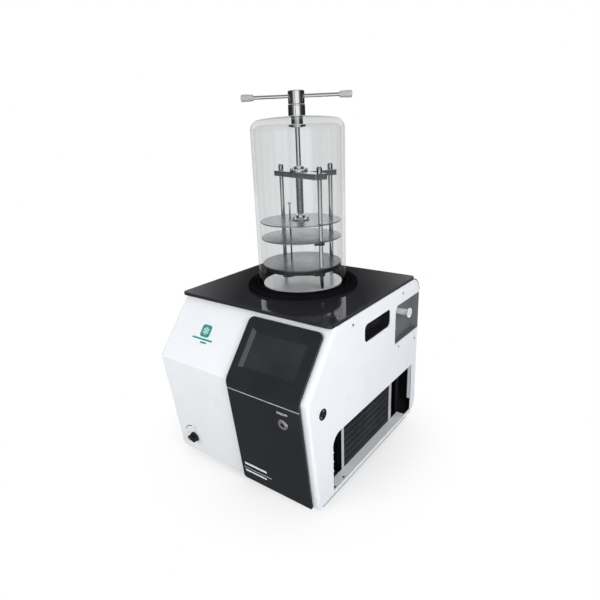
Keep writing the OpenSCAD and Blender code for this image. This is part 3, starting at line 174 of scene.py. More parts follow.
def rounded_outline(width: float, height: float, radii: Sequence[float], steps: int = 8) -> list[Flat]:
    """Outline of a rectangle round its middle, with a radius of its own for each corner.

    Args:
        width: Length along the first axis.
        height: Length along the second axis.
        radii: Radius of the upper right, upper left, lower left and lower right corner.
        steps: Straight pieces of each round corner.

    Returns:
        The outline, anticlockwise.
    """
    points: list[Flat] = []
    for i, (sx, sy) in enumerate(((1, 1), (-1, 1), (-1, -1), (1, -1))):
        r = max(radii[i], 0.01)
        middle = (sx * (width / 2 - r), sy * (height / 2 - r))
        points += arc(middle, r, 90 * i, 90 * i + 90, steps if radii[i] > 0 else 1)
    return points


# -------- building tools
def calm() -> None:
    """Leaves edit mode and deselects everything."""
    if bpy.context.object and bpy.context.object.mode != "OBJECT":
        bpy.ops.object.mode_set(mode="OBJECT")
    bpy.ops.object.select_all(action="DESELECT")


def enter(kind: str = "VERT", action: str = "SELECT") -> None:
    """Enters edit mode and selects everything, or nothing with DESELECT."""
    bpy.ops.object.mode_set(mode="EDIT")
    bpy.ops.mesh.select_mode(type=kind)
    bpy.ops.mesh.select_all(action=action)


def leave() -> None:
    """Goes back to object mode."""
    bpy.ops.object.mode_set(mode="OBJECT")


def activate(piece: Object) -> None:
    """Makes a piece the only selected one and the active one."""
    calm()
    piece.select_set(True)
    bpy.context.view_layer.objects.active = piece


def pick(piece: Object, faces: Callable[[Face], bool]) -> int:
    """Selects faces by a test and enters edit mode.

    Args:
        piece: The piece.
        faces: Test of a face, in the piece's own metres.

    Returns:
        How many faces were selected.
    """
    activate(piece)
    enter("FACE", "DESELECT")
    leave()
    count = 0
    for face in piece.data.polygons:
        face.select = faces(face)
        count += face.select
    bpy.ops.object.mode_set(mode="EDIT")
    return count


def modify(piece: Object, kind: str, **settings: object) -> None:
    """Adds a modifier and applies it.

    Args:
        piece: The piece.
        kind: The modifier's type.
        **settings: Its settings; lengths are in metres.
    """
    activate(piece)
    modifier = piece.modifiers.new(kind.lower(), kind)
    for key, value in settings.items():
        setattr(modifier, key, value)
    bpy.ops.object.modifier_apply(modifier=modifier.name)


def settle(piece: Object, matrix: Optional[Matrix] = None) -> Object:
    """Puts a piece's place into its mesh.

    Args:
        piece: The piece.
        matrix: Where it goes, in metres, or None to leave it.

    Returns:
        The piece.
    """
    if matrix is not None:
        piece.matrix_world = matrix @ piece.matrix_world
    activate(piece)
    bpy.ops.object.transform_apply(location=True, rotation=True, scale=True)
    return piece


def outward(piece: Object) -> Object:
    """Merges doubles and turns every face outwards."""
    activate(piece)
    enter()
    bpy.ops.mesh.remove_doubles(threshold=1e-6)
    bpy.ops.mesh.normals_make_consistent(inside=False)
    leave()
    return piece


def trace(name: str, points: Sequence[Point], fill: bool = False) -> Object:
    """Draws a line of vertices by extruding one vertex from point to point.

    Args:
        name: Name of the new piece.
        points: The points, in millimetres.
        fill: Whether the line is closed and filled with a face.

    Returns:
        The piece.
    """
    calm()
    bpy.ops.mesh.primitive_plane_add(size=2 * MM, location=(0, 0, 0))
    piece = bpy.context.active_object
    piece.name = piece.data.name = name
    enter()
    bpy.ops.mesh.merge(type="CENTER")
    bpy.ops.transform.translate(value=Vector(points[0]) * MM)
    for before, after in zip(points, points[1:]):
        step = (Vector(after) - Vector(before)) * MM
        bpy.ops.mesh.extrude_vertices_move(TRANSFORM_OT_translate={"value": step})
    if fill:
        bpy.ops.mesh.select_all(action="SELECT")
        bpy.ops.mesh.edge_face_add()
    leave()
    return piece


def prism(name: str, outline: Sequence[Point], along: Point) -> Object:
    """Fills an outline and extrudes it into a solid.

    Args:
        name: Name of the new piece.
        outline: Corners of the outline, in millimetres.
        along: The extrusion, in millimetres.

    Returns:
        The piece.
    """
    piece = trace(name, outline, fill=True)
    enter()
    bpy.ops.mesh.extrude_region_move(TRANSFORM_OT_translate={"value": Vector(along) * MM})
    leave()
    return outward(piece)


def tile(name: str, outline: Sequence[Flat], thick: float, matrix: Optional[Matrix] = None) -> Object:
    """A flat solid with the outline (x, y), raised from the floor by its thickness and then set in its place."""
    return settle(prism(name, [(x, y, 0.0) for x, y in outline], (0, 0, thick)), matrix)


def turned(
    name: str, profile: Sequence[Flat], place: Point = (0, 0, 0), steps: int = 96, closed: bool = False,
    matrix: Optional[Matrix] = None
) -> Object:
    """Turns a profile round +Z, as on a lathe.

    Args:
        name: Name of the new piece.
        profile: Points (radius, height). A solid starts and ends on the axis.
        place: Where the axis stands, in millimetres.
        steps: Steps of the full turn.
        closed: Whether the last point joins the first, for a ring.
        matrix: Where the piece goes after that, in metres.

    Returns:
        The piece.
    """
    points = list(profile) + ([profile[0]] if closed else [])
    piece = trace(name, [(r, 0.0, z) for r, z in points])
    enter()
    bpy.ops.mesh.spin(steps=steps, angle=2 * math.pi, center=(0, 0, 0), axis=(0, 0, 1), use_auto_merge=True)
    leave()
    outward(piece)
    settle(piece, move(*place))
    return settle(piece, matrix) if matrix is not None else piece


def drill(
    radius: float, low: float, high: float, place: Point = (0, 0, 0), steps: int = 96, matrix: Optional[Matrix] = None
) -> Object:
    """A round cutter along +Z, from low to high above its place."""
    return turned("hole", [(0, low), (radius, low), (radius, high), (0, high)], place, steps, matrix=matrix)


def cut(piece: Object, *cutters: Object) -> None:
    """Cuts other solids out of a piece and deletes them."""
    for cutter in cutters:
        modify(piece, "BOOLEAN", operation="DIFFERENCE", object=cutter, solver="EXACT")
        bpy.data.objects.remove(cutter)


def weld(piece: Object, other: Object) -> None:
    """Unites another solid with a piece."""
    modify(piece, "BOOLEAN", operation="UNION", object=other, solver="EXACT")
    bpy.data.objects.remove(other)


def ease(piece: Object, width: float, segments: int = 2, angle: float = 40.0) -> None:
    """Rounds the sharp edges of a piece.

    Args:
        piece: The piece.
        width: Width of the rounding, in millimetres.
        segments: Steps of the rounding.
        angle: Edges sharper than this, in degrees, are rounded.
    """
    modify(
        piece, "BEVEL", width=width * MM, segments=segments, limit_method="ANGLE", angle_limit=math.radians(angle),
        use_clamp_overlap=True, miter_outer="MITER_ARC")


def smooth(piece: Object, angle: float = 34.0, weighted: bool = False) -> Object:
    """Shades a piece smooth except at its sharp edges.

    Args:
        piece: The piece.
        angle: Edges sharper than this, in degrees, stay sharp.
        weighted: Whether large flat faces keep flat shading up to their rounded edges.

    Returns:
        The piece.
    """
    activate(piece)
    bpy.ops.object.shade_smooth_by_angle(angle=math.radians(angle))
    if weighted:
        modify(piece, "WEIGHTED_NORMAL", keep_sharp=True, weight=100)
    return piece


def twin(piece: Object, name: str, matrix: Matrix) -> Object:
    """Copies a piece with a mesh of its own and sets the copy in its place.

    Args:
        piece: The piece that is copied.
        name: Name of the copy.
        matrix: Where the copy goes, in metres.

    Returns:
        The copy.
    """
    copy = piece.copy()
    copy.data = piece.data.copy()
    copy.name = copy.data.name = name
    bpy.context.scene.collection.objects.link(copy)
    return settle(copy, matrix)


def joined(name: str, pieces: Sequence[Object]) -> Object:
    """Joins pieces into one object."""
    activate(pieces[0])
    for piece in pieces[1:]:
        piece.select_set(True)
    bpy.ops.object.join()
    whole = bpy.context.active_object
    whole.name = whole.data.name = name
    return whole


def report(piece: Object, finish: "Finish | ClearWall", slot: str, *nodes: str, body: str = "cabinet") -> Object:
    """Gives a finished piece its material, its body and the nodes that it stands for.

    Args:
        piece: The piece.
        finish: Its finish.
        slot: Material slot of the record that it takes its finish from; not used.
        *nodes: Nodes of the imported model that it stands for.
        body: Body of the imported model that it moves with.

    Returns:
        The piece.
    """
    if not piece.data.materials:
        piece.data.materials.append(finish.build())
    else:
        piece.data.materials[0] = finish.build()
    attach(piece, body)
    if nodes:
        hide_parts(*nodes)
    log.info("piece %s on %s, %d faces", piece.name, body, len(piece.data.polygons))
    return piece


# -------- finishes
class Pattern(Enum):
    """What the fine relief of a finish looks like."""

    PEEL = "the soft waves of a powder coat"
    GRAIN = "the fine grain of moulded plastic or rubber"
    BRUSHED = "straight brush lines"
    RINGS = "the rings a lathe leaves"
    FOAM = "open cells"


@dataclass(frozen=True)
class Finish:
    """A procedural surface whose colour, roughness and relief vary over the piece.

    Attributes:
        name: Name of the material.
        colour: Its main colour, linear.
        shade: The colour that it drifts to in broad patches.
        rough: Lowest and highest roughness.
        pattern: The fine relief.
        grain: Repeats of the relief in a metre.
        relief: Depth of the relief, in millimetres.
        metallic: 1 for bare metal.
        coat: Weight of the clear coat.
        stretch: How the relief is stretched along X, Y and Z.
        centre: Axis of the rings, in millimetres.
        sheen: Weight of the sheen.
        aniso: Anisotropy of the highlight.
        patch: Repeats of the broad patches in a metre.
        shine: Specular level, 0.5 for an ordinary surface.
    """

    name: str
    colour: Colour
    shade: Colour
    rough: tuple[float, float]
    pattern: Pattern = Pattern.PEEL
    grain: float = 500.0
    relief: float = 0.01
    metallic: float = 0.0
    coat: float = 0.0
    stretch: Point = (1.0, 1.0, 1.0)
    centre: Point = (0.0, 0.0, 0.0)
    sheen: float = 0.0
    aniso: float = 0.0
    patch: float = 9.0
    shine: float = 0.5

    @lru_cache(maxsize=None)
    def build(self) -> bpy.types.Material:
        """Makes the material once and hands out the same one afterwards.

        Returns:
            The material.
        """
        material = bpy.data.materials.new(self.name)
        material.use_nodes = True
        tree = Wiring(material.node_tree)
        shader = tree.shader
        tree.feed(shader, {
            "Specular IOR Level": self.shine, "Metallic": self.metallic, "Coat Weight": self.coat,
            "Coat Roughness": 0.06, "Sheen Weight": self.sheen, "Anisotropic": self.aniso})
        broad = tree.noise(tree.place(), self.patch, 3.0)
        fine = self.relief_of(tree, tree.place(self.centre, self.stretch))
        worn = tree.maths("ADD", tree.maths("MULTIPLY", broad, 0.6), tree.maths("MULTIPLY", fine, 0.4))
        tree.feed(shader, {
            "Base Color": tree.blend(tree.span(broad, 0.35, 0.65, 0.0, 1.0), self.colour, self.shade),
            "Roughness": tree.span(worn, 0.3, 0.7, *self.rough), "Normal": tree.bump(fine, self.relief)})
        return material

    def relief_of(self, tree: "Wiring", place: Socket) -> Socket:
        """The height pattern of the finish.

        Args:
            tree: The material's wiring.
            place: Coordinates to read.

        Returns:
            A height from 0 to 1.
        """
        if self.pattern is Pattern.RINGS:
            wave = tree.add("ShaderNodeTexWave", {
                "Vector": place, "Scale": self.grain, "Distortion": 1.2, "Detail": 2.0, "Detail Scale": 0.4},
                wave_type="RINGS", rings_direction="Z")
            streak = tree.noise(place, self.grain * 0.1, 4.0)
            halves = (tree.maths("MULTIPLY", part, 0.5) for part in (wave.outputs["Fac"], streak))
            return tree.maths("ADD", *halves)
        if self.pattern is Pattern.FOAM:
            cells = tree.add("ShaderNodeTexVoronoi", {"Vector": place, "Scale": self.grain}, feature="F1")
            return cells.outputs["Distance"]
        detail = {Pattern.PEEL: 1.0, Pattern.GRAIN: 4.0, Pattern.BRUSHED: 3.0}[self.pattern]
        return tree.noise(place, self.grain, detail)


class Wiring:
    """Adds and links the nodes of one material, or of the surround."""

    def __init__(self, node_tree: bpy.types.NodeTree) -> None:
        """Starts from a new node tree."""
        self.tree = node_tree
        self.shader = next(n for n in node_tree.nodes if n.type in ("BSDF_PRINCIPLED", "BACKGROUND"))
        self.output = next(n for n in node_tree.nodes if n.type in ("OUTPUT_MATERIAL", "OUTPUT_WORLD"))

    def feed(self, node: bpy.types.Node, inputs: dict[object, object]) -> None:
        """Links inputs of a node to sockets of other nodes, or sets them to plain values."""
        for key, value in inputs.items():
            if isinstance(value, Socket):
                self.tree.links.new(value, node.inputs[key])
            else:
                node.inputs[key].default_value = value

    def add(self, kind: str, inputs: Optional[dict[object, object]] = None, **settings: object) -> bpy.types.Node:
        """Adds a node, sets its options and feeds its inputs.

        Args:
            kind: The node's type.
            inputs: A socket or a plain value for some of its inputs.
            **settings: Its options.

        Returns:
            The node.
        """
        node = self.tree.nodes.new(kind)
        for key, value in settings.items():
            setattr(node, key, value)
        self.feed(node, inputs or {})
        return node

    def place(self, centre: Point = (0, 0, 0), stretch: Point = (1, 1, 1)) -> Socket:
        """Object coordinates, centred and stretched.

        Args:
            centre: The point that becomes the origin, in millimetres.
            stretch: Factor along each axis.

        Returns:
            The coordinates.
        """
        mapping = self.add("ShaderNodeMapping", {
            "Vector": self.add("ShaderNodeTexCoord").outputs["Object"], "Scale": stretch,
            "Location": [-c * MM * s for c, s in zip(centre, stretch)]}, vector_type="POINT")
        return mapping.outputs["Vector"]

    def noise(self, place: Socket, scale: float, detail: float) -> Socket:
        """Noise from 0 to 1."""
        return self.add("ShaderNodeTexNoise", {"Vector": place, "Scale": scale, "Detail": detail}).outputs["Fac"]

    def maths(self, operation: str, first: Socket, second: "float | Socket") -> Socket:
        """Combines a value with another value or a number."""
        return self.add("ShaderNodeMath", {0: first, 1: second}, operation=operation).outputs[0]

    def vectors(self, operation: str, first: Socket, second: "Point | Socket" = (0, 0, 0)) -> Socket:
        """Measures a vector or combines it with another one."""
        node = self.add("ShaderNodeVectorMath", {0: first, 1: second}, operation=operation)
        return node.outputs["Value" if operation in ("LENGTH", "DOT_PRODUCT") else "Vector"]

    def span(self, value: Socket, low: float, high: float, to_low: float, to_high: float) -> Socket:
        """Maps one range of a value onto another and clamps it."""
        return self.add("ShaderNodeMapRange", {
            "Value": value, "From Min": low, "From Max": high, "To Min": to_low, "To Max": to_high},
            clamp=True).outputs["Result"]

    def grade(self, value: Socket, stops: Sequence[Flat]) -> Socket:
        """Gives grey levels along a value.

        Args:
            value: The value, from -1 to 1.
            stops: Pairs of a value and its grey level.

        Returns:
            The grey.
        """
        node = self.add("ShaderNodeValToRGB", {"Fac": self.span(value, -1.0, 1.0, 0.0, 1.0)})
        elements = node.color_ramp.elements
        elements.remove(elements[1])
        for i, (at, grey) in enumerate(stops):
            stop = elements.new((at + 1) / 2) if i else elements[0]
            stop.position, stop.color = (at + 1) / 2, (grey, grey, grey * 1.01, 1)
        return node.outputs["Color"]

    def blend(self, share: Socket, first: "Colour | Socket", second: "Colour | Socket") -> Socket:
        """Mixes two colours, each given plainly or by another node."""
        first, second = ((*c, 1.0) if isinstance(c, tuple) else c for c in (first, second))
        return self.add("ShaderNodeMix", {0: share, 6: first, 7: second}, data_type="RGBA").outputs[2]

    def choose(self, share: Socket, first: Socket, second: Socket) -> Socket:
        """Mixes two shaders."""
        return self.add("ShaderNodeMixShader", {0: share, 1: first, 2: second}).outputs[0]

    def glow(self, colour: "tuple[float, ...] | Socket" = (1, 1, 1, 1)) -> Socket:
        """A shader that glows by itself."""
        return self.add("ShaderNodeEmission", {"Color": colour}).outputs[0]

    def bump(self, height: Socket, depth: float) -> Socket:
        """Turns a height from 0 to 1 into a surface normal, with the depth at height 1 in millimetres."""
        return self.add("ShaderNodeBump", {"Height": height, "Strength": 1.0, "Distance": depth * MM}).outputs["Normal"]


@dataclass(frozen=True)
class ClearWall:
    """Clear plastic that tints what is seen through it and lets lamps light what stands inside.

    Attributes:
        name: Name of the material.
        tint: Colour of the wall, linear.
        passed: Share of a lamp's light that comes through.
        rough: Lowest and highest roughness.
        ior: Index of refraction; 1 leaves what is seen through the wall in its place.
        gloss: Weight of the glossy outer skin.
        shade_z: Height above which the wall's tint carries a painted shade, for the darker look of the thick shoulder,
            in millimetres, or 0 for none.
    """

    name: str
    tint: Colour
    passed: Colour
    rough: tuple[float, float] = (0.0, 0.02)
    ior: float = 1.47
    gloss: float = 0.6
    shade_z: float = 0.0

    @lru_cache(maxsize=None)
    def build(self) -> bpy.types.Material:
        """Makes the material once.

        Returns:
            The material.
        """
        material = bpy.data.materials.new(self.name)
        material.use_nodes = True
        tree = Wiring(material.node_tree)
        shader = tree.shader
        tree.feed(shader, {
            "Transmission Weight": 1.0, "IOR": self.ior, "Coat Weight": self.gloss, "Coat Roughness": 0.03})
        place = tree.place()
        haze = tree.noise(place, 14.0, 4.0)
        # Painted reflection: soft upright streaks, a little lighter and darker, in the wall's tint stand in for
        # reflections on the bell.
        painted_reflection_streaks = tree.span(tree.noise(tree.place(AXIS, (1, 1, 0.02)), 34.0, 3.0), 0.38, 0.66, 0.0, 1.0)
        wall = tree.blend(painted_reflection_streaks, self.toned(0.93), self.toned(1.03))
        # Painted shade: above shade_z the tint turns darker, for the darker look of the bell's thick shoulder.
        if self.shade_z:
            height = tree.add("ShaderNodeSeparateXYZ", {0: place}).outputs["Z"]
            above = tree.span(height, self.shade_z * MM, (self.shade_z + 22) * MM, 0.0, 1.0)
            wall = tree.blend(above, wall, tree.blend(haze, self.toned(0.80), self.toned(0.88)))
        tree.feed(shader, {"Base Color": wall, "Roughness": tree.span(haze, 0.4, 0.75, *self.rough)})
        through = tree.add("ShaderNodeBsdfTransparent", {"Color": (*self.passed, 1.0)}).outputs[0]
        shadow = tree.add("ShaderNodeLightPath").outputs["Is Shadow Ray"]
        tree.feed(tree.output, {"Surface": tree.choose(shadow, shader.outputs[0], through)})
        return material

    def toned(self, factor: float) -> Colour:
        """The wall's colour made darker or lighter."""
        return tuple(min(1.0, c * factor) for c in self.tint)


ENAMEL = Finish("cabinet_enamel", (0.83, 0.85, 0.875), (0.80, 0.822, 0.85), (0.26, 0.36), Pattern.PEEL, 420, 0.006,
    coat=0.25)
DECK_BLACK = Finish("polished_black", (0.012, 0.0125, 0.014), (0.016, 0.0165, 0.018), (0.035, 0.075), Pattern.PEEL, 60,
    0.002)
PANEL_GREY = Finish("panel_moulding", (0.0135, 0.0147, 0.0175), (0.0165, 0.0178, 0.021), (0.30, 0.40), Pattern.GRAIN,
    1500, 0.006, shine=0.22)
BLACK_PLASTIC = Finish("black_moulding", (0.012, 0.012, 0.013), (0.018, 0.018, 0.02), (0.34, 0.5), Pattern.GRAIN, 1800,
    0.01, shine=0.3)
POCKET_GREY = Finish("pocket_paint", (0.135, 0.14, 0.147), (0.12, 0.125, 0.13), (0.35, 0.5), Pattern.PEEL, 500, 0.008)
RUBBER = Finish("soft_rubber", (0.005, 0.005, 0.006), (0.008, 0.008, 0.009), (0.34, 0.48), Pattern.GRAIN, 900, 0.012,
    shine=0.0)
IVORY = Finish("ivory_plastic", (0.40, 0.40, 0.375), (0.37, 0.37, 0.35), (0.28, 0.4), Pattern.GRAIN, 900, 0.008,
    coat=0.2)
POLISHED = Finish("polished_steel", (0.78, 0.78, 0.785), (0.72, 0.725, 0.73), (0.07, 0.12), Pattern.BRUSHED, 700,
    0.0006, 1.0, stretch=(1, 1, 0.04))
SATIN = Finish("satin_disc", (0.93, 0.935, 0.94), (0.87, 0.875, 0.88), (0.16, 0.26), Pattern.RINGS, 420, 0.002, 0.15,
    centre=AXIS)
SHEET_STEEL = Finish("shelf_steel", (0.40, 0.405, 0.415), (0.33, 0.335, 0.345), (0.22, 0.34), Pattern.RINGS, 420,
    0.0025, 1.0, centre=AXIS)
# Painted shade: the upper shelf's steel made darker for the lower shelf, which lies in the shade of the plates above.
SHADED_SHELF_STEEL = Finish("shelf_steel_painted_shade", (0.25, 0.255, 0.26), (0.20, 0.203, 0.21), (0.22, 0.34), Pattern.RINGS, 420,
    0.0025, 1.0, centre=AXIS)
BRUSHED = Finish("brushed_steel", (0.66, 0.665, 0.675), (0.58, 0.585, 0.595), (0.22, 0.36), Pattern.BRUSHED, 900,
    0.004, 1.0, stretch=(0.03, 1, 1))
TRIM = Finish("bright_trim", (0.62, 0.62, 0.61), (0.56, 0.56, 0.55), (0.25, 0.35), Pattern.BRUSHED, 600, 0.002, 0.3,
    stretch=(0.03, 1, 1))
# Painted light: a paler grey given only to the screen recess's bevel faces that turn towards +X, where the light falls.
BEVEL = Finish("bevel_painted_light", (0.060, 0.064, 0.072), (0.070, 0.074, 0.082), (0.26, 0.36), Pattern.GRAIN, 1500, 0.004,
    shine=0.4)
# Painted light: a paler grey for the inner face of the pocket's rear wall, making up for the shade that it stands in.
POCKET_WALL_LIGHT = Finish("pocket_wall_painted_light", (0.24, 0.245, 0.255), (0.21, 0.215, 0.225), (0.35, 0.5), Pattern.PEEL, 500,
    0.008)
THREAD = Finish("thread_steel", (0.48, 0.485, 0.495), (0.38, 0.385, 0.395), (0.18, 0.32), Pattern.BRUSHED, 600, 0.003,
    1.0)
CHROME = Finish("chrome_plate", (0.70, 0.70, 0.71), (0.66, 0.66, 0.67), (0.04, 0.10), Pattern.PEEL, 120, 0.001, 1.0)
ZINC = Finish("galvanised_sheet", (0.30, 0.31, 0.32), (0.22, 0.23, 0.24), (0.35, 0.55), Pattern.FOAM, 110, 0.004, 1.0)
COPPER = Finish("copper_tube", (0.62, 0.30, 0.17), (0.45, 0.2, 0.11), (0.22, 0.42), Pattern.BRUSHED, 400, 0.004, 1.0)
# A much darker copper than the other copper lines, for the condenser's tubes behind the window.
DARK_COPPER = Finish("dark_condenser_copper", (0.10, 0.025, 0.018), (0.045, 0.012, 0.010), (0.3, 0.5), Pattern.BRUSHED, 400,
    0.004, 1.0)
BRASS = Finish("brass_bar", (0.62, 0.46, 0.2), (0.5, 0.36, 0.15), (0.2, 0.35), Pattern.BRUSHED, 500, 0.004, 1.0)
FINS = Finish("coated_fins", (0.030, 0.032, 0.036), (0.055, 0.058, 0.062), (0.4, 0.6), Pattern.GRAIN, 900, 0.01,
    shine=0.3)
COLLAR = Finish("pressed_collars", (0.085, 0.09, 0.095), (0.04, 0.042, 0.046), (0.4, 0.6), Pattern.GRAIN, 500, 0.01,
    patch=30.0)
# Painted shade: near black for the inner faces of the covers, standing in for the dark inside the cabinet.
INNER_SHADE = Finish("painted_inner_shade", (0.010, 0.010, 0.011), (0.016, 0.016, 0.017), (0.75, 0.9), Pattern.FOAM, 700, 0.05)
# Near-black paint; on the condenser casing it is also painted shade.
FRAME_PAINT_AND_SHADE = Finish("frame_paint_and_shade", (0.006, 0.006, 0.007), (0.010, 0.010, 0.011), (0.5, 0.65), Pattern.PEEL, 300, 0.01,
    shine=0.12)
END_PLATE = Finish("condenser_plate", (0.60, 0.61, 0.62), (0.5, 0.51, 0.52), (0.35, 0.5), Pattern.FOAM, 140, 0.004, 0.2)
FOAM = Finish("insulating_foam", (0.62, 0.52, 0.28), (0.5, 0.42, 0.22), (0.8, 0.95), Pattern.FOAM, 420, 0.25)
SHELL_BLACK = Finish("compressor_paint", (0.014, 0.014, 0.016), (0.022, 0.022, 0.024), (0.3, 0.42), Pattern.PEEL, 240,
    0.02)
SCREEN = Finish("display_glass", (0.0155, 0.0165, 0.0195), (0.027, 0.029, 0.033), (0.09, 0.14), Pattern.PEEL, 40,
    0.0005, patch=5.0, shine=0.35)
PRINT_WHITE = Finish("pale_print", (0.82, 0.83, 0.84), (0.76, 0.77, 0.78), (0.4, 0.5), Pattern.GRAIN, 1200, 0.002)
PRINT_BLACK = Finish("dark_print", (0.018, 0.018, 0.02), (0.026, 0.026, 0.028), (0.4, 0.5), Pattern.GRAIN, 1200, 0.002)
TEAL = Finish("teal_badge", (0.005, 0.30, 0.26), (0.006, 0.26, 0.22), (0.25, 0.35), Pattern.GRAIN, 900, 0.004, coat=0.3)
TEFLON = Finish("white_gland", (0.62, 0.62, 0.6), (0.56, 0.56, 0.54), (0.35, 0.5), Pattern.GRAIN, 900, 0.005)
# The bell's wall carries a painted shade on its shoulder above 940 mm.
ACRYLIC = ClearWall("clear_acrylic", (0.86, 0.87, 0.873), (0.93, 0.94, 0.94), ior=1.0, shade_z=940.0)
ACRYLIC_INSIDE = ClearWall("clear_acrylic_inside", (0.86, 0.87, 0.873), (0.93, 0.94, 0.94), ior=1.0, gloss=0.08)
HOSE = ClearWall("clear_hose", (0.9, 0.92, 0.9), (0.7, 0.72, 0.7), (0.08, 0.2), 1.4)


# -------- cabinet

def dress(piece: Object, finish: Finish, faces: Callable[[Face], bool]) -> None:
    """Gives some faces of a piece a further finish.

    Args:
        piece: The piece.
        finish: The further finish.
        faces: Test of a face, in metres.
    """
    piece.data.materials.append(finish.build())
    for face in piece.data.polygons:
        if faces(face):
            face.material_index = len(piece.data.materials) - 1


def block(name: str, low: Point, high: Point) -> Object:
    """A rectangular solid between two corners, drawn out from its floor."""
    (x0, y0, z0), (x1, y1, z1) = low, high
    return prism(name, [(x0, y0, z0), (x1, y0, z0), (x1, y1, z0), (x0, y1, z0)], (0, 0, z1 - z0))


def side_slab(name: str, outline: Sequence[Flat], x: float, thick: float) -> Object:
    """A solid whose outline (y, z) is drawn out along +X from x."""
    return prism(name, [(x, y, z) for y, z in outline], (thick, 0, 0))


def side_rect(low: Flat, high: Flat, radii: Sequence[float]) -> list[Flat]:
    """Rectangle in (y, z); the radii are for its rear upper, front upper, front lower and rear lower corner."""
    width, height = high[0] - low[0], high[1] - low[1]
    mid = ((low[0] + high[0]) / 2, (low[1] + high[1]) / 2)
    return [(mid[0] + a, mid[1] + b) for a, b in rounded_outline(width, height, radii)]


@dataclass
class Cabinet:
    """The enamelled cabinet: front shell, bent covers, black deck, hand holds and screws."""

    wall: float = 3.0
    sheet: float = 2.0
    wrap: Flat = (21.0, 9.0)
    gap: float = 0.6
    rear_r: float = 50.0
    hem: float = 4.0
    front_r: float = 20.0
    foot_r: float = 12.0
    deck_r: float = 12.0
    trap_hole: float = 102.5
    grip: tuple[Flat, Flat] = ((-42.0, 399.0), (107.0, 451.0))
    grip_r: float = 14.0
    cup_depth: float = 40.0
    pocket: tuple[Flat, Flat] = ((143.0, 323.0), (310.0, 445.0))
    pocket_depth: float = 20.0
    pocket_r: float = 18.0
    window: tuple[Flat, Flat] = ((-205.0, 32.0), (275.0, 201.0))
    window_r: float = 33.0
    socket: Flat = (-249.0, 291.0)
    screws: tuple[Flat, ...] = ((-104.0, 474.0), (192.0, 474.0), (289.0, 291.0), (170.0, 307.0))

    def seam(self, shift: float) -> list[Flat]:
        """The three points of the seam between front and covers, moved back by shift."""
        brow, chin = self.wrap
        top, nose, low = level(BROW, -brow, TOP_Z), meet(-brow, -chin), level(CHIN, -chin, FLOOR_Z)
        return [(y + shift, z) for y, z in (top, nose, low)]

    def front_shell(self) -> None:
        """Folds the front from a block: leaning faces, round edges, then a wall."""
        above = TOP_Z + 40
        top, nose, low = self.seam(-self.gap)
        lean = BROW.run / BROW.rise * (above - TOP_Z)
        outline = [level(BROW, 0, above), NOSE, level(CHIN, 0, FLOOR_Z), low, nose, (top[0] + lean, above)]
        shell = side_slab("front_shell_panel", outline, -SIDE_X, 2 * SIDE_X)
        weights = shell.data.attributes.new("bevel_weight_edge", "FLOAT", "EDGE")
        for edge, share in zip(shell.data.edges, weights.data):
            a, b = (shell.data.vertices[i].co / MM for i in edge.vertices)
            share.value = self.edge_share(a, b)
        modify(shell, "BEVEL", width=self.front_r * MM, segments=8, limit_method="WEIGHT", miter_outer="MITER_SHARP")
        pick(shell, lambda f: f.normal.y > 0.3 or f.normal.z > 0.97)
        bpy.ops.mesh.delete(type="FACE")
        bpy.ops.mesh.select_all(action="SELECT")
        bpy.ops.mesh.bisect(plane_co=(0, 0, TOP_Z * MM), plane_no=(0, 0, 1), clear_outer=True)
        leave()
        outward(shell)
        modify(shell, "SOLIDIFY", thickness=self.wall * MM, offset=-1, use_even_offset=True)
        r = ControlPanel.bezel_r - 1
        cut(shell, drill(r, -10, 4, steps=64, matrix=CHIN.frame_at(*ControlPanel.button)))
        smooth(shell, 32, weighted=True)
        report(shell, ENAMEL, "white_enamel", "front_shell")

    def edge_share(self, a: Vector, b: Vector) -> float:
        """How round an edge of the front becomes, as a share of the largest radius."""
        close, nose_bend, foot_bend = 0.01, math.radians(45.4), math.radians(83.4)
        on_face = [any(abs((p.y - NOSE[0]) * f.normal[0] + (p.z - NOSE[1]) * f.normal[1]) < close for f in (BROW, CHIN))
                   for p in (a, b)]
        upright, at_foot = abs(a.x - b.x) < close, abs(a.z - FLOOR_Z) < close and abs(b.z - FLOOR_Z) < close
        if not all(on_face):
            return self.foot_r / self.front_r if at_foot and upright else 0.0
        if upright:
            return 1.0
        if abs(a.z - NOSE[1]) < close and abs(b.z - NOSE[1]) < close:
            return math.tan(nose_bend / 2)
        return self.foot_r / self.front_r * math.tan(foot_bend / 2) if at_foot else 0.0

    def cover_outline(self) -> list[Flat]:
        """Side view of a side cover."""
        top, nose, low = self.seam(0)
        back, r = BACK_Y - self.rear_r, self.rear_r
        slope = (low[0] - nose[0]) / (low[1] - nose[1])
        front = (low[0] + slope * self.hem, low[1] + self.hem)
        return [front, nose, top, *arc((back, TOP_Z - r), r, 90, 0, 14), *arc((back, FLOOR_Z + r), r, 0, -84, 14),
                (back, FLOOR_Z + self.hem)]

    def side_cover(self, side: int) -> Object:
        """Cuts one side cover out of sheet and opens what both covers share.

        Args:
            side: 1 for the right cover, -1 for the left one.

        Returns:
            The sheet, not yet eased.
        """
        name = "side_cover_right_sheet" if side > 0 else "side_cover_left_sheet"
        x0 = SIDE_X - self.sheet if side > 0 else -SIDE_X
        cover = side_slab(name, self.cover_outline(), x0, self.sheet)
        reach = 3 * self.sheet
        low, high = self.grip
        cutters = [side_slab("grip", side_rect(low, high, [self.grip_r] * 4), x0 - self.sheet, reach)]
        for y, z in self.screws:
            cutters.append(side_slab("hole", arc((y, z), 2.2, 0, 345, 23), x0 - self.sheet, reach))
        cut(cover, *cutters)
        return cover

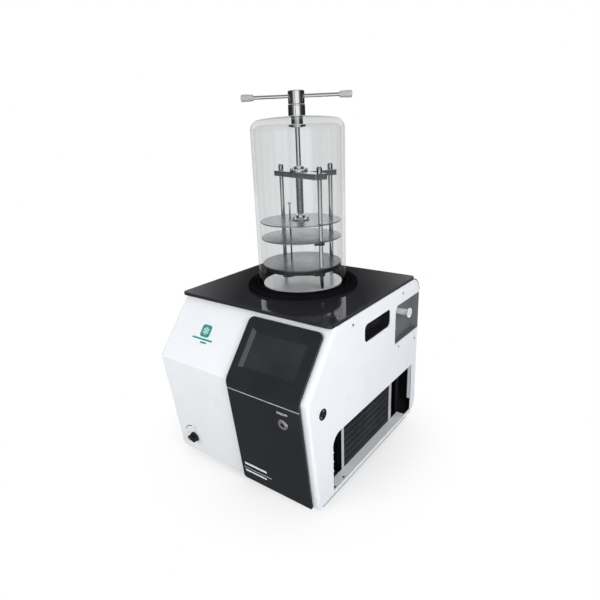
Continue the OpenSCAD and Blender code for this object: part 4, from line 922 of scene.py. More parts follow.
    def right_cover(self) -> None:
        """Opens the window, the pump pocket and the socket in the right cover and folds the window's edges."""
        cover = self.side_cover(1)
        x0, reach = SIDE_X - 2 * self.sheet, 3 * self.sheet
        (wy, wz), (wy1, wz1) = self.window
        (py, pz), (py1, pz1) = self.pocket
        window = side_slab("window", side_rect(*self.window, [0, self.window_r, 0, 0]), x0, reach)
        tabs = [block("tab", (x0 - 1, wy - 2, wz + (wz1 - wz) * (0.36 + 0.17 * i)), (x0 + reach + 1, wy + 3,
                wz + (wz1 - wz) * (0.36 + 0.17 * i) + 4)) for i in range(3)]
        cut(window, *tabs)
        pocket = side_slab("pocket", side_rect((py, pz), (py1 + 1, pz1), [0, self.pocket_r, 0, 0]), x0, reach)
        socket = side_slab("socket", arc(self.socket, 13, 0, 352, 44), x0, reach)
        cut(cover, window, pocket, socket)
        ease(cover, 0.4, 2, 60)
        relief, fold, lip = 40.0, 29.0, 12.5
        shelf = block("fold", (SIDE_X - fold, wy, wz - self.sheet), (SIDE_X - 0.02, wy1 - relief, wz))
        notches = ((254.5, -143.0), (256.0, -190.0))
        cut(shelf, *[block("slot", (x - 3, y - 5, wz - 3), (x + 3, y + 5, wz + 3)) for x, y in notches])
        ease(shelf, 0.5, 2)
        flap = block("return", (SIDE_X - lip, wy1, wz + relief), (SIDE_X - 0.02, wy1 + self.sheet, wz1))
        ease(flap, 0.5, 2)
        cover = joined("side_cover_right_sheet", [cover, shelf, flap])
        smooth(cover, 32, weighted=True)
        report(cover, ENAMEL, "white_enamel", "side_cover_right")
        # Painted shade: the cover's inner face is painted near black for the dark inside the cabinet.
        inner = (SIDE_X - self.sheet + 0.1) * MM
        dress(cover, INNER_SHADE, lambda f: f.normal.x < -0.9 and abs(f.center.x) < inner
            and abs(f.center.x) > inner - 0.3 * MM)

    def left_cover(self) -> None:
        """Opens the air slots and the drain hole in the left cover."""
        cover = self.side_cover(-1)
        (wy, wz), (_, wz1) = self.window
        slots = []
        for i in range(9):
            low = wz + 20 + i * (wz1 - wz) / 11
            slots.append(side_slab("slot", side_rect((wy + 30, low), (wy + 260, low + 6), [2.9] * 4), -SIDE_X - 2, 6))
        spout = Place.of("drain_spout").mid
        slots.append(side_slab("drain", arc((spout[1], spout[2]), 6.5, 0, 345, 23), -SIDE_X - 2, 6))
        cut(cover, *slots)
        ease(cover, 0.4, 2, 60)
        smooth(cover, 32, weighted=True)
        report(cover, ENAMEL, "white_enamel", "side_cover_left")
        # Painted shade: the cover's inner face is painted near black for the dark inside the cabinet.
        dress(cover, INNER_SHADE, lambda f: f.normal.x > 0.9)

    def rear_cover(self) -> None:
        """Bends the rear cover and cuts its slots, its inlet and the corner that leaves room for the pocket."""
        r, back = self.rear_r, BACK_Y - self.rear_r
        top, low = (back, TOP_Z - r), (back, FLOOR_Z + r)
        outer = arc(top, r, 90, 0, 16) + arc(low, r, 0, -90, 16) + [(back - 12, FLOOR_Z)]
        inner = [(back - 12, FLOOR_Z + self.sheet)] + arc(low, r - self.sheet, -90, 0, 16)
        inner += arc(top, r - self.sheet, 0, 90, 16)
        half = SIDE_X - self.sheet - 0.2
        cover = side_slab("rear_cover_sheet", outer + inner, -half, 2 * half)
        (py, pz), (_, pz1) = self.pocket
        cutters = [block("notch", (SIDE_X - self.pocket_depth - 4, py - 40, pz - self.sheet),
            (SIDE_X + 8, BACK_Y + 9, pz1 + self.sheet))]
        inlet = Place.of("mains_inlet").mid
        cutters.append(block("inlet", (inlet[0] - 24, BACK_Y - 4, inlet[2] - 14),
            (inlet[0] + 24, BACK_Y + 4, inlet[2] + 14)))
        for i in range(9):
            low_z = FLOOR_Z + 90 + i * 22
            outline = [(35 + x, BACK_Y - 4, low_z + 3 + z) for x, z in rounded_outline(210, 6, [2.9] * 4, 5)]
            cutters.append(prism("slot", outline, (0, 8, 0)))
        cut(cover, *cutters)
        ease(cover, 0.4, 2, 60)
        smooth(cover, 32, weighted=True)
        report(cover, ENAMEL, "white_enamel", "rear_cover")
        # Painted shade: the rear cover's inner faces are painted near black for the dark inside the cabinet.
        dress(cover, INNER_SHADE, lambda f: f.normal.y < -0.02 or (f.normal.z < -0.3 and f.center.z > 0.4)
              or (f.normal.z > 0.3 and f.center.z < 0.1))

    def deck(self) -> None:
        """The thick black plate on top, with eased edges and the round hole over the cold trap."""
        low, high = DECK.lo, DECK.hi
        outline = rounded_outline(high[0] - low[0], high[1] - low[1], [self.deck_r] * 4, 10)
        middle = move(0, (low[1] + high[1]) / 2, low[2])
        plate = tile("deck_plate", outline, high[2] - low[2], middle)
        hole = drill(self.trap_hole, -2, 14, (0, AXIS_Y, low[2]))
        cut(plate, hole)
        ease(plate, 1.4, 3)
        smooth(plate, 32, weighted=True)
        report(plate, DECK_BLACK, "black_deck", "top_plate")

    def rear_band(self) -> None:
        """The dark strip that rounds the top rear edge behind the deck."""
        centre, r = (BACK_Y - self.rear_r, TOP_Z - self.rear_r), self.rear_r
        outline = arc(centre, r + 0.1, 70, 4, 14) + arc(centre, r + 3.0, 6, 69, 14)
        band = side_slab("rear_edge_band", outline, -SIDE_X, 2 * SIDE_X)
        ease(band, 0.6, 2, 50)
        smooth(band, 32, weighted=True)
        report(band, RUBBER, "black_rubber")

    def cups(self) -> None:
        """Moulded cups behind the two hand holds."""
        (y0, z0), (y1, z1) = self.grip
        t, inner = 2.5, SIDE_X - self.sheet
        cup = side_slab("hand_cup_right", side_rect((y0 - t, z0 - t), (y1 + t, z1 + t), [self.grip_r + t] * 4),
                        inner - self.cup_depth, self.cup_depth)
        room = side_slab("room", side_rect((y0, z0), (y1, z1), [self.grip_r] * 4), inner - self.cup_depth + t,
            self.cup_depth)
        ease(room, 5, 4)
        cut(cup, room)
        smooth(cup)
        half_turn = rotate(180)
        shift = move(0, y0 + y1, 0)
        other = twin(cup, "hand_cup_left", shift @ half_turn)
        report(cup, BLACK_PLASTIC, "black_plastic", "hand_cups")
        report(other, BLACK_PLASTIC, "black_plastic")

    def screw_heads(self) -> None:
        """Cross-headed screws, made once and copied to their places."""
        head = turned("cover_screw_1", [(0, -9), (2, -9), (2, 0), (4, 0), (3.9, 0.7), (3.2, 1.4), (2.0, 1.75),
            (0, 1.8)], steps=32)
        for turn in (0, 90):
            slot = tile("cross", rounded_outline(3.6, 0.8, [0.1] * 4, 2), 2, move(0, 0, 0.9) @ rotate(turn))
            cut(head, slot)
        smooth(head, 40)
        places = [(side, spot) for side in (1, -1) for spot in self.screws]
        for i, (side, (y, z)) in enumerate(places):
            matrix = move(side * SIDE_X, y, z) @ rotate(90 * side, "Y") @ rotate(17 * i)
            if i:
                report(twin(head, f"cover_screw_{i + 1}", matrix), BRUSHED, "steel")
        first = move(SIDE_X, *self.screws[0]) @ rotate(90, "Y")
        report(settle(head, first), BRUSHED, "steel", "cover_screws")

    def feet(self) -> None:
        """Rubber feet, turned with a soft lower edge."""
        box = Place.of("rubber_feet")
        r = 20.0
        high = box.size[2]
        foot = turned("rubber_foot_1", [(0, 0), (r - 4.5, 0), (r - 3.3, 0.6), (r - 2.8, 1.8), (r, high), (0, high)],
            steps=48)
        smooth(foot, 40)
        places = [(x, y) for x in (box.lo[0] + r, box.hi[0] - r) for y in (box.lo[1] + r, box.hi[1] - r)]
        for i, (x, y) in enumerate(places[1:]):
            report(twin(foot, f"rubber_foot_{i + 2}", move(x, y, box.lo[2])), RUBBER, "black_rubber")
        settle(foot, move(*places[0], box.lo[2]))
        report(foot, RUBBER, "black_rubber", "rubber_feet")

    def build(self) -> None:
        """Builds the whole cabinet."""
        self.front_shell()
        self.right_cover()
        self.left_cover()
        self.rear_cover()
        self.deck()
        self.rear_band()
        self.cups()
        self.screw_heads()
        self.feet()


@dataclass
class PumpCorner:
    """The grey pocket in the rear corner with the vacuum flange, and the round socket."""

    cabinet: Cabinet

    def pocket(self) -> None:
        """Folds the pocket: inner wall, roof, floor, front wall and rear wall, open to the side."""
        c, t = self.cabinet, self.cabinet.sheet
        (y0, z0), (y1, z1) = c.pocket
        x0 = SIDE_X - c.pocket_depth
        outer = side_rect((y0 - t, z0 - t), (y1, z1 + t), [0, c.pocket_r + t, 0, 0])
        shell = side_slab("pump_pocket_sheet", outer, x0 - t, c.pocket_depth)
        room = side_slab("room", side_rect((y0, z0), (y1 - t, z1), [0, c.pocket_r, 0, 0]), x0, c.pocket_depth + 9)
        port = Place.of("pump_port")
        hole = drill(9.5, 0, 12, steps=48)
        settle(hole, move(x0 - 6, port.mid[1], port.mid[2]) @ rotate(90, "Y"))
        cut(shell, room, hole)
        rim = block("rim", (SIDE_X - c.sheet - 0.2, y1 - t, z0), (SIDE_X, y1, z1))
        weld(shell, rim)
        ease(shell, 0.4, 2, 60)
        smooth(shell, 32, weighted=True)
        report(shell, POCKET_GREY, "grey_paint", "port_pocket")
        # Painted light: the rear wall's inner face takes the paler grey, making up for its shade.
        dress(shell, POCKET_WALL_LIGHT, lambda f: f.normal.y < -0.9 and f.center.y > (y1 - 2 * t) * MM)

    def flange(self) -> None:
        """Turns the small-flange stub: bore, counterbore, face and locking cone."""
        box = Place.of("pump_port")
        length = box.size[0]
        profile = [(8, 0), (12.3, 0), (14.6, 0), (15, 0.4), (15, 2.6), (14.8, 3), (9.9, 5.0), (9.5, 5.6),
            (9.5, length), (8, length)]
        stub = turned("pump_flange", profile, steps=96, closed=True)
        groove = turned("groove", [(8.9, -1), (12.2, -1), (12.2, 1.6), (8.9, 1.6)], steps=96, closed=True)
        cut(stub, groove)
        smooth(stub, 30)
        spin = move(box.hi[0], box.mid[1], box.mid[2]) @ rotate(-90, "Y")
        report(settle(stub, spin), SATIN, "steel", "pump_port")

    def round_socket(self) -> None:
        """The small black connector in front, with its keyed rim and three pin holes."""
        y, z = self.cabinet.socket
        body = turned("round_socket_body", [(0, -16), (12.8, -16), (12.8, 0), (15, 0), (15, 1.4), (14.4, 2), (11.6, 2),
            (11, 1.4), (11, -6), (8, -6), (8, 1.2), (7.4, 1.6), (0, 1.6)], steps=64)
        key = block("key", (-1.6, 10.0, -4), (1.6, 12.6, 3))
        cut(body, key)
        pins = [drill(1.3, 0, 9, (5 * math.cos(a), 5 * math.sin(a), -4), 20)
                for a in (0.0, 2.094, 4.189)]
        cut(body, *pins)
        smooth(body, 34)
        spin = move(SIDE_X, y, z) @ rotate(90, "Y")
        report(settle(body, spin), BLACK_PLASTIC, "black_plastic", "round_socket")

    def build(self) -> None:
        """Builds the pocket, the flange and the socket."""
        self.pocket()
        self.flange()
        self.round_socket()


# -------- control panel
@dataclass
class ControlPanel:
    """The dark moulding on the right of the front, with its screen, trim and power button."""

    x0: float = 8.0
    width: float = 234.0
    proud: float = 8.5
    nose_r: float = 20.0
    top_s: float = 176.7
    top_r: float = 16.0
    foot_r: float = 12.0
    screen_x: float = 127.0
    screen: Flat = (163.0, 97.0)
    screen_s: float = 41.0
    sunk: float = 4.0
    bevels: tuple[float, float, float] = (14.0, 8.0, 3.0)
    trim_s: float = 20.0
    trim_h: float = 2.6
    button: Flat = (187.0, 73.0)
    bezel_r: float = 15.0
    button_r: float = 10.0
    letter_size: float = 9.4
    letter_weight: float = 0.06

    def strip(self) -> list[Flat]:
        """Side view of the moulding: its face, square top and foot, and the cabinet's face behind it."""
        top = [BROW.at(0, self.top_s, off)[1:] for off in (0.0, self.proud)]
        foot = [level(CHIN, off, FLOOR_Z) for off in (self.proud, 0.0)]
        start = math.degrees(math.atan2(BROW.normal[1], BROW.normal[0]))
        end = math.degrees(math.atan2(CHIN.normal[1], CHIN.normal[0])) + 360
        centre = meet(-self.nose_r, -self.nose_r)
        front = arc(centre, self.nose_r + self.proud, start, end, 12)
        behind = arc(centre, self.nose_r, end, start, 12)
        return [top[0], top[1], *front, *foot, *behind]

    def corner(self, at: Matrix, r: float) -> Object:
        """A cutter for what lies outside a round corner whose centre is at the origin of the matrix."""
        outline = [(r, 0), (r + 3, -1), (r + 3, r + 3), (-1, r + 3), (0, r)] + arc((0, 0), r, 90, 0, 10)[1:-1]
        cutter = tile("corner", outline, 30)
        return settle(cutter, at @ move(0, 0, -10))

    def moulding(self) -> None:
        """Shapes the moulding and sinks the place of the screen and the trim into it."""
        panel = side_slab("control_panel_moulding", self.strip(), self.x0, self.width)
        mid = self.x0 + self.width / 2
        half = self.width / 2 - self.top_r
        flip = Matrix.Scale(-1, 4, (1, 0, 0))
        upper = BROW.frame_at(mid, self.top_s - self.top_r)
        lift = move(half, 0, 0)
        right = self.corner(upper @ lift, self.top_r)
        left = self.corner(upper @ flip @ lift, self.top_r)
        foot_s = (NOSE[1] - FLOOR_Z) / -CHIN.along[1] - self.foot_r + 1
        lower = CHIN.frame_at(self.x0 + self.foot_r, foot_s) @ rotate(180)
        corner = self.corner(lower, self.foot_r)
        for cutter in (left, right, corner):
            outward(cutter)
        cut(panel, left, right, corner)
        ease(panel, 1.8, 4, 50)
        self.sink_screen(panel)
        groove = prism("groove", self.slab(mid, self.trim_s, self.width + 4, self.trim_h), self.lift(CHIN, 3))
        cut(panel, groove)
        hole = drill(self.bezel_r - 2, -4, 14, steps=64,
                      matrix=CHIN.frame_at(*self.button))
        cut(panel, hole)
        smooth(panel, 30, weighted=True)
        report(panel, PANEL_GREY, "panel_grey", "control_panel")
        # Painted light: only the bevel faces of the screen's recess that turn towards +X take the paler grey, where the
        # light falls on them.
        middle = Vector(BROW.at(self.screen_x, self.screen_s + self.screen[1] / 2, self.proud)) * MM
        normal = Vector((0, *BROW.normal))
        reach, deep, shallow = 115 * MM, -3.9 * MM, -0.4 * MM
        dress(panel, BEVEL, lambda f: f.normal.x > 0.15 and (f.center - middle).length < reach
              and deep < (f.center - middle).dot(normal) < shallow)

    def lift(self, plane: FrontPlane, height: float) -> Point:
        """A step outwards from a face."""
        ny, nz = plane.normal
        return (0.0, ny * height, nz * height)

    def slab(self, x: float, s: float, width: float, height: float) -> list[Point]:
        """Corners of a strip across the lower face, just under the moulding's face."""
        off = self.proud - 1
        return [CHIN.at(x + a * width / 2, s + b * height / 2, off) for a, b in ((-1, 1), (1, 1), (1, -1), (-1, -1))]

    def sink_screen(self, panel: Object) -> None:
        """Sinks the sloping recess of the screen, wider at its sides than above and below."""
        side, above, below = self.bevels
        w, h = self.screen
        floor = [(-w / 2, 0), (w / 2, 0), (w / 2, h), (-w / 2, h)]
        rim = [(-w / 2 - side, -below), (w / 2 + side, -below), (w / 2 + side, h + above), (-w / 2 - side, h + above)]
        cutter = trace("recess", [(x, y, -self.sunk) for x, y in floor], fill=True)
        enter()
        bpy.ops.mesh.extrude_region_move(TRANSFORM_OT_translate={"value": (0, 0, (self.sunk + 0.01) * MM)})
        wide, tall = (w + 2 * side) / w, (h + above + below) / h
        middle = ((rim[0][1] + rim[2][1]) / 2 - (floor[0][1] + floor[2][1]) / 2) * MM
        bpy.ops.transform.resize(value=(wide, tall, 1))
        bpy.ops.transform.translate(value=(0, middle, 0))
        bpy.ops.mesh.extrude_region_move(TRANSFORM_OT_translate={"value": (0, 0, 3 * MM)})
        leave()
        outward(cutter)
        settle(cutter, BROW.frame_at(self.screen_x, self.screen_s, self.proud))
        deep = block("deep", (-w / 2 - 0.05, -0.05, -self.sunk - 4), (w / 2 + 0.05, h + 0.05, -self.sunk + 0.2))
        settle(deep, BROW.frame_at(self.screen_x, self.screen_s, self.proud))
        cut(panel, cutter, deep)

    def touch_screen(self) -> None:
        """The dark glass of the screen with a fine eased rim."""
        w, h = self.screen
        glass = tile("touch_screen_glass", [(-w / 2, 0), (w / 2, 0), (w / 2, h), (-w / 2, h)], 10)
        ease(glass, 0.5, 2)
        smooth(glass, 34, weighted=True)
        settle(glass, BROW.frame_at(self.screen_x, self.screen_s, self.proud - self.sunk - 10))
        report(glass, SCREEN, "screen", "touch_screen")

    def trim(self) -> None:
        """The bright strip across the panel under the nose."""
        mid = self.x0 + self.width / 2
        strip = prism("trim_strip_bar", self.slab(mid, self.trim_s, self.width, self.trim_h), self.lift(CHIN, 1.4))
        ease(strip, 0.35, 2)
        smooth(strip, 34, weighted=True)
        report(strip, TRIM, "steel", "trim_strip")

    def power_button(self) -> None:
        """The ring in the panel and the button that slides in it."""
        at = CHIN.frame_at(*self.button, self.proud)
        r, b = self.bezel_r, self.button_r
        ring = turned("button_ring", [(b + 0.1, -10), (b + 0.1, 1.9), (b + 0.6, 2.2), (r - 1.6, 2.2), (r - 0.8, 1.9),
            (r, 0.8), (r, 0), (r - 2.2, 0), (r - 2.2, -26), (0, -26), (0, -14), (b - 3, -14), (b - 3, -10)], steps=96)
        smooth(ring, 26)
        report(settle(ring, at), CHROME, "chrome", "button_bezel")
        button = turned("button_cap", [(0, -7), (b, -7), (b, 2.6), (b - 0.3, 3.1), (b - 0.9, 3.4), (b - 2.2, 3.4),
            (b - 3.2, 3.0), (b - 5.5, 2.72), (0, 2.5)], steps=96)
        smooth(button, 30)
        report(settle(button, at), BRUSHED, "steel", "power_button", body="button")
        # Painted reflection: the middle of the button's face takes black plastic, standing in for the dark that its
        # glossy face mirrors.
        face = Vector(CHIN.at(self.button[0], self.button[1], self.proud)) * MM
        dress(button, BLACK_PLASTIC, lambda f: (f.center - face).length < (b - 2.6) * MM)

    def printing(self) -> None:
        """The switch's ON/OFF and the plain bars under it, printed on the moulding."""
        calm()
        bpy.ops.object.text_add(location=(0, 0, 0))
        words = bpy.context.active_object
        words.name = "switch_letters"
        words.data.body = "ON/OFF"
        words.data.size, words.data.offset = self.letter_size * MM, self.letter_weight * MM
        words.data.align_x, words.data.align_y = "CENTER", "CENTER"
        words.data.extrude = self.letter_weight * MM
        words.data.resolution_u = 3
        activate(words)
        bpy.ops.object.convert(target="MESH")
        words = bpy.context.active_object
        settle(words, CHIN.frame_at(188.5, 41, self.proud + 0.05))
        report(words, PRINT_WHITE, "steel")
        for i, (x0, x1, high, low) in enumerate(((22, 101, 77, 70), (16, 116, 59, 57.6), (20, 97, 51, 45))):
            s0, s1 = ((NOSE[1] - z) / -CHIN.along[1] for z in (high, low))
            matrix = CHIN.frame_at((x0 + x1) / 2, (s0 + s1) / 2, self.proud)
            bar = tile(f"printed_bar_{i + 1}", rounded_outline(x1 - x0, s1 - s0, [0.4] * 4, 3), 0.09, matrix)
            report(bar, PRINT_WHITE, "steel")

    def build(self) -> None:
        """Builds the panel and all that sits in it."""
        self.moulding()
        self.touch_screen()
        self.trim()
        self.power_button()
        self.printing()


# -------- drain
@dataclass
class Drain:
    """The drain knob on the front with its printed scale, and the plain badge above it."""

    x: float = -192.0
    s: float = 272.0
    radius: float = 16.0
    foot: float = 7.0
    height: float = 18.0
    bar: float = 11.0
    turn: float = -11.0
    gap: float = 0.5

    def knob(self) -> None:
        """The knob: a skirt, a bar with hollow flanks to grip, and a pale index line."""
        r, up = self.radius, self.foot + self.gap
        skirt = turned("drain_knob_body", [(0, self.gap), (r - 0.6, self.gap), (r, self.gap + 0.6),
            (r - 0.9, up - 0.8), (r - 1.7, up), (0, up)], steps=72)
        grip = tile("grip", rounded_outline(2 * r - 2.6, self.bar, [3] * 4, 6), self.height - self.foot,
                    move(0, 0, up - 0.4))
        ease(grip, 1.2, 4)
        round_off = turned("round_off", [(r - 1.2, -2), (r + 9, -2), (r + 9, 40), (r - 1.2, 40)], steps=72, closed=True)
        cut(grip, round_off)
        weld(skirt, grip)
        stem = turned("stem", [(0, -17), (4, -17), (4, 1.4), (0, 1.4)], steps=40)
        weld(skirt, stem)
        smooth(skirt, 34)
        at = CHIN.frame_at(self.x, self.s) @ rotate(self.turn)
        report(settle(skirt, at), BLACK_PLASTIC, "black_plastic", "drain_knob", body="knob")
        mark = tile("knob_index", rounded_outline(9, 1.3, [0.3] * 4, 2), 0.12)
        top = self.gap + self.height - 0.4
        settle(mark, at @ move(-r + 6.5, 0, top))
        report(mark, PRINT_WHITE, "steel", body="knob")

    def scale(self) -> None:
        """The printed quarter scale: an arc that thins out, two end marks and a dot."""
        at = CHIN.frame_at(self.x, self.s, 0.0)
        outer = arc((0, 0), 40, 97, 159, 24)
        steps = 24
        inner = [arc((0, 0), 38.4 - 1.6 * i / steps, 159 - 62 * i / steps, 0, 1)[0] for i in range(steps + 1)]
        pieces = [tile("drain_scale", outer + inner, 0.09, at)]
        pieces.append(tile("dot", arc(arc((0, 0), 39, 75, 0, 1)[0], 2.2, 0, 345, 23), 0.09, at))
        for angle in (75, 165):
            spin = rotate(angle) @ move(26, 0, 0)
            pieces.append(tile("tick", rounded_outline(6, 1.1, [0.2] * 4, 2), 0.09, at @ spin))
        report(joined("drain_scale", pieces), PRINT_BLACK, "black_plastic")

    def badge(self) -> None:
        """A plain teal square with round corners and a pale frost star, and plain bars under it."""
        at = BROW.frame_at(-129.0, 104.0, 0.0)
        plate = tile("plain_badge", rounded_outline(36.0, 36.0, [8.0] * 4), 0.14, at)
        bars = [tile("bar", rounded_outline(w, 5.0, [1.6] * 4, 4), 0.1, at @ move(x, -y, 0))
                for x, y, w in ((-3.0, 25.0, 78.0), (6.0, 34.0, 24.0))]
        report(joined("plain_badge", [plate, *bars]), TEAL, "panel_grey")
        star = []
        lift = move(0, 0, 0.14)
        for i in range(3):
            spin = rotate(60 * i + 30)
            star.append(tile("badge_star", rounded_outline(25, 2.0, [0.6] * 4, 3), 0.06, at @ lift @ spin))
        for i in range(6):
            for lean in (-1, 1):
                spin = rotate(60 * i + 30) @ move(6.4, 0, 0) @ rotate(55 * lean) @ move(2.4, 0, 0)
                star.append(tile("branch", rounded_outline(5.4, 1.5, [0.4] * 4, 3), 0.06, at @ lift @ spin))
        report(joined("badge_star", star), PRINT_WHITE, "steel")

    def build(self) -> None:
        """Builds the knob, its scale and the badge."""
        self.knob()
        self.scale()
        self.badge()


# -------- condenser behind the window
@dataclass
class Condenser:
    """The finned condenser that shows through the window, with its end plates and return bends."""

    plate: float = 2.0
    pitch: float = 2.0
    rows: int = 8
    tube_r: float = 4.5

    @property
    def sides(self) -> tuple[Flat, Flat, Flat]:
        """Lowest and highest x, y and z of the core."""
        box = Place.of("condenser_ends")
        return tuple(zip(box.lo, box.hi))

    def fins(self) -> None:
        """One fin with a rippled front edge, repeated along the core."""
        (x0, x1), (y0, y1), (z0, z1) = self.sides
        low, high = z0 + self.plate + 0.5, z1 - self.plate - 0.5
        edge: list[Flat] = []
        waves = 2 * (self.rows + 1)
        for i in range(waves + 1):
            z = low + (high - low) * i / waves
            edge.append((x1 - (0.9 if i % 2 else 0.0), z))
        outline = [(x0, low)] + edge + [(x0, high)]
        fin = prism("condenser_fin_core", [(x, y0 + self.plate + 0.6, z) for x, z in outline], (0, 0.35, 0))
        count = int((y1 - y0 - 2 * self.plate - 1.2) / self.pitch)
        modify(fin, "ARRAY", count=count, use_relative_offset=False, use_constant_offset=True,
               constant_offset_displace=(0, self.pitch * MM, 0))
        report(fin, FINS, "fin_aluminium", "condenser_fins")

    def collars(self) -> None:
        """The pressed collar lines of the fin pack, one at each tube row, seen as paler lines on its face."""
        (_, x1), (y0, y1), (z0, z1) = self.sides
        step = (z1 - z0) / (self.rows + 1)
        first = block("condenser_collar_1", (x1 - 2.2, y0 + self.plate, z0 + step - 0.9),
            (x1 - 0.1, y1 - self.plate, z0 + step + 0.9))
        ease(first, 0.3, 1)
        for i in range(1, self.rows):
            line = twin(first, f"condenser_collar_{i + 1}", move(0, 0, i * step))
            report(line, COLLAR, "fin_aluminium")
        report(first, COLLAR, "fin_aluminium")

    def frame_plates(self) -> None:
        """The flanged end plates and the top and bottom plates that hold the core."""
        (x0, x1), (y0, y1), (z0, z1) = self.sides
        t = self.plate
        pieces = [block("condenser_casing", (x0, y0, z0), (x1, y0 + t, z1)),
            block("end", (x0, y1 - t, z0), (x1, y1, z1)),
                  block("low", (x0, y0 + t, z0), (x1, y1 - t, z0 + t)),
                  block("top", (x0, y0 + t, z1 - t), (x1, y1 - t, z1))]
        step = (z1 - z0) / (self.rows + 1)
        for piece in pieces[:2]:
            for i in range(1, self.rows + 1):
                hole = drill(self.tube_r + 0.1, -9, 9, steps=24)
                middle_y = (min(v.co.y for v in piece.data.vertices) / MM) + t / 2
                settle(hole, move((x0 + x1) / 2, middle_y, z0 + i * step) @ rotate(90, "X"))
                cut(piece, hole)
        for piece in pieces:
            ease(piece, 0.4, 1, 60)
        for near, far in ((y0 + t - 0.1, y0 + 13.0), (y1 - 18.0, y1 - t + 0.1)):
            flange = block("flange", (x1 - 1.2, near, z0), (x1 + 0.3, far, z1))
            ease(flange, 0.3, 1, 60)
            pieces.append(flange)
        casing = joined("condenser_casing", pieces)
        smooth(casing, 34, weighted=True)
        report(casing, END_PLATE, "frame_steel", "condenser_ends")
        # Painted shade: every casing face not turned towards the window takes the near-black paint; the faces towards
        # the window keep the plate's grey.
        casing.data.materials.append(FRAME_PAINT_AND_SHADE.build())
        for face in casing.data.polygons:
            face.material_index = int(face.normal.x < 0.3)

    def build(self) -> None:
        """Builds the condenser."""
        self.fins()
        self.collars()
        self.frame_plates()


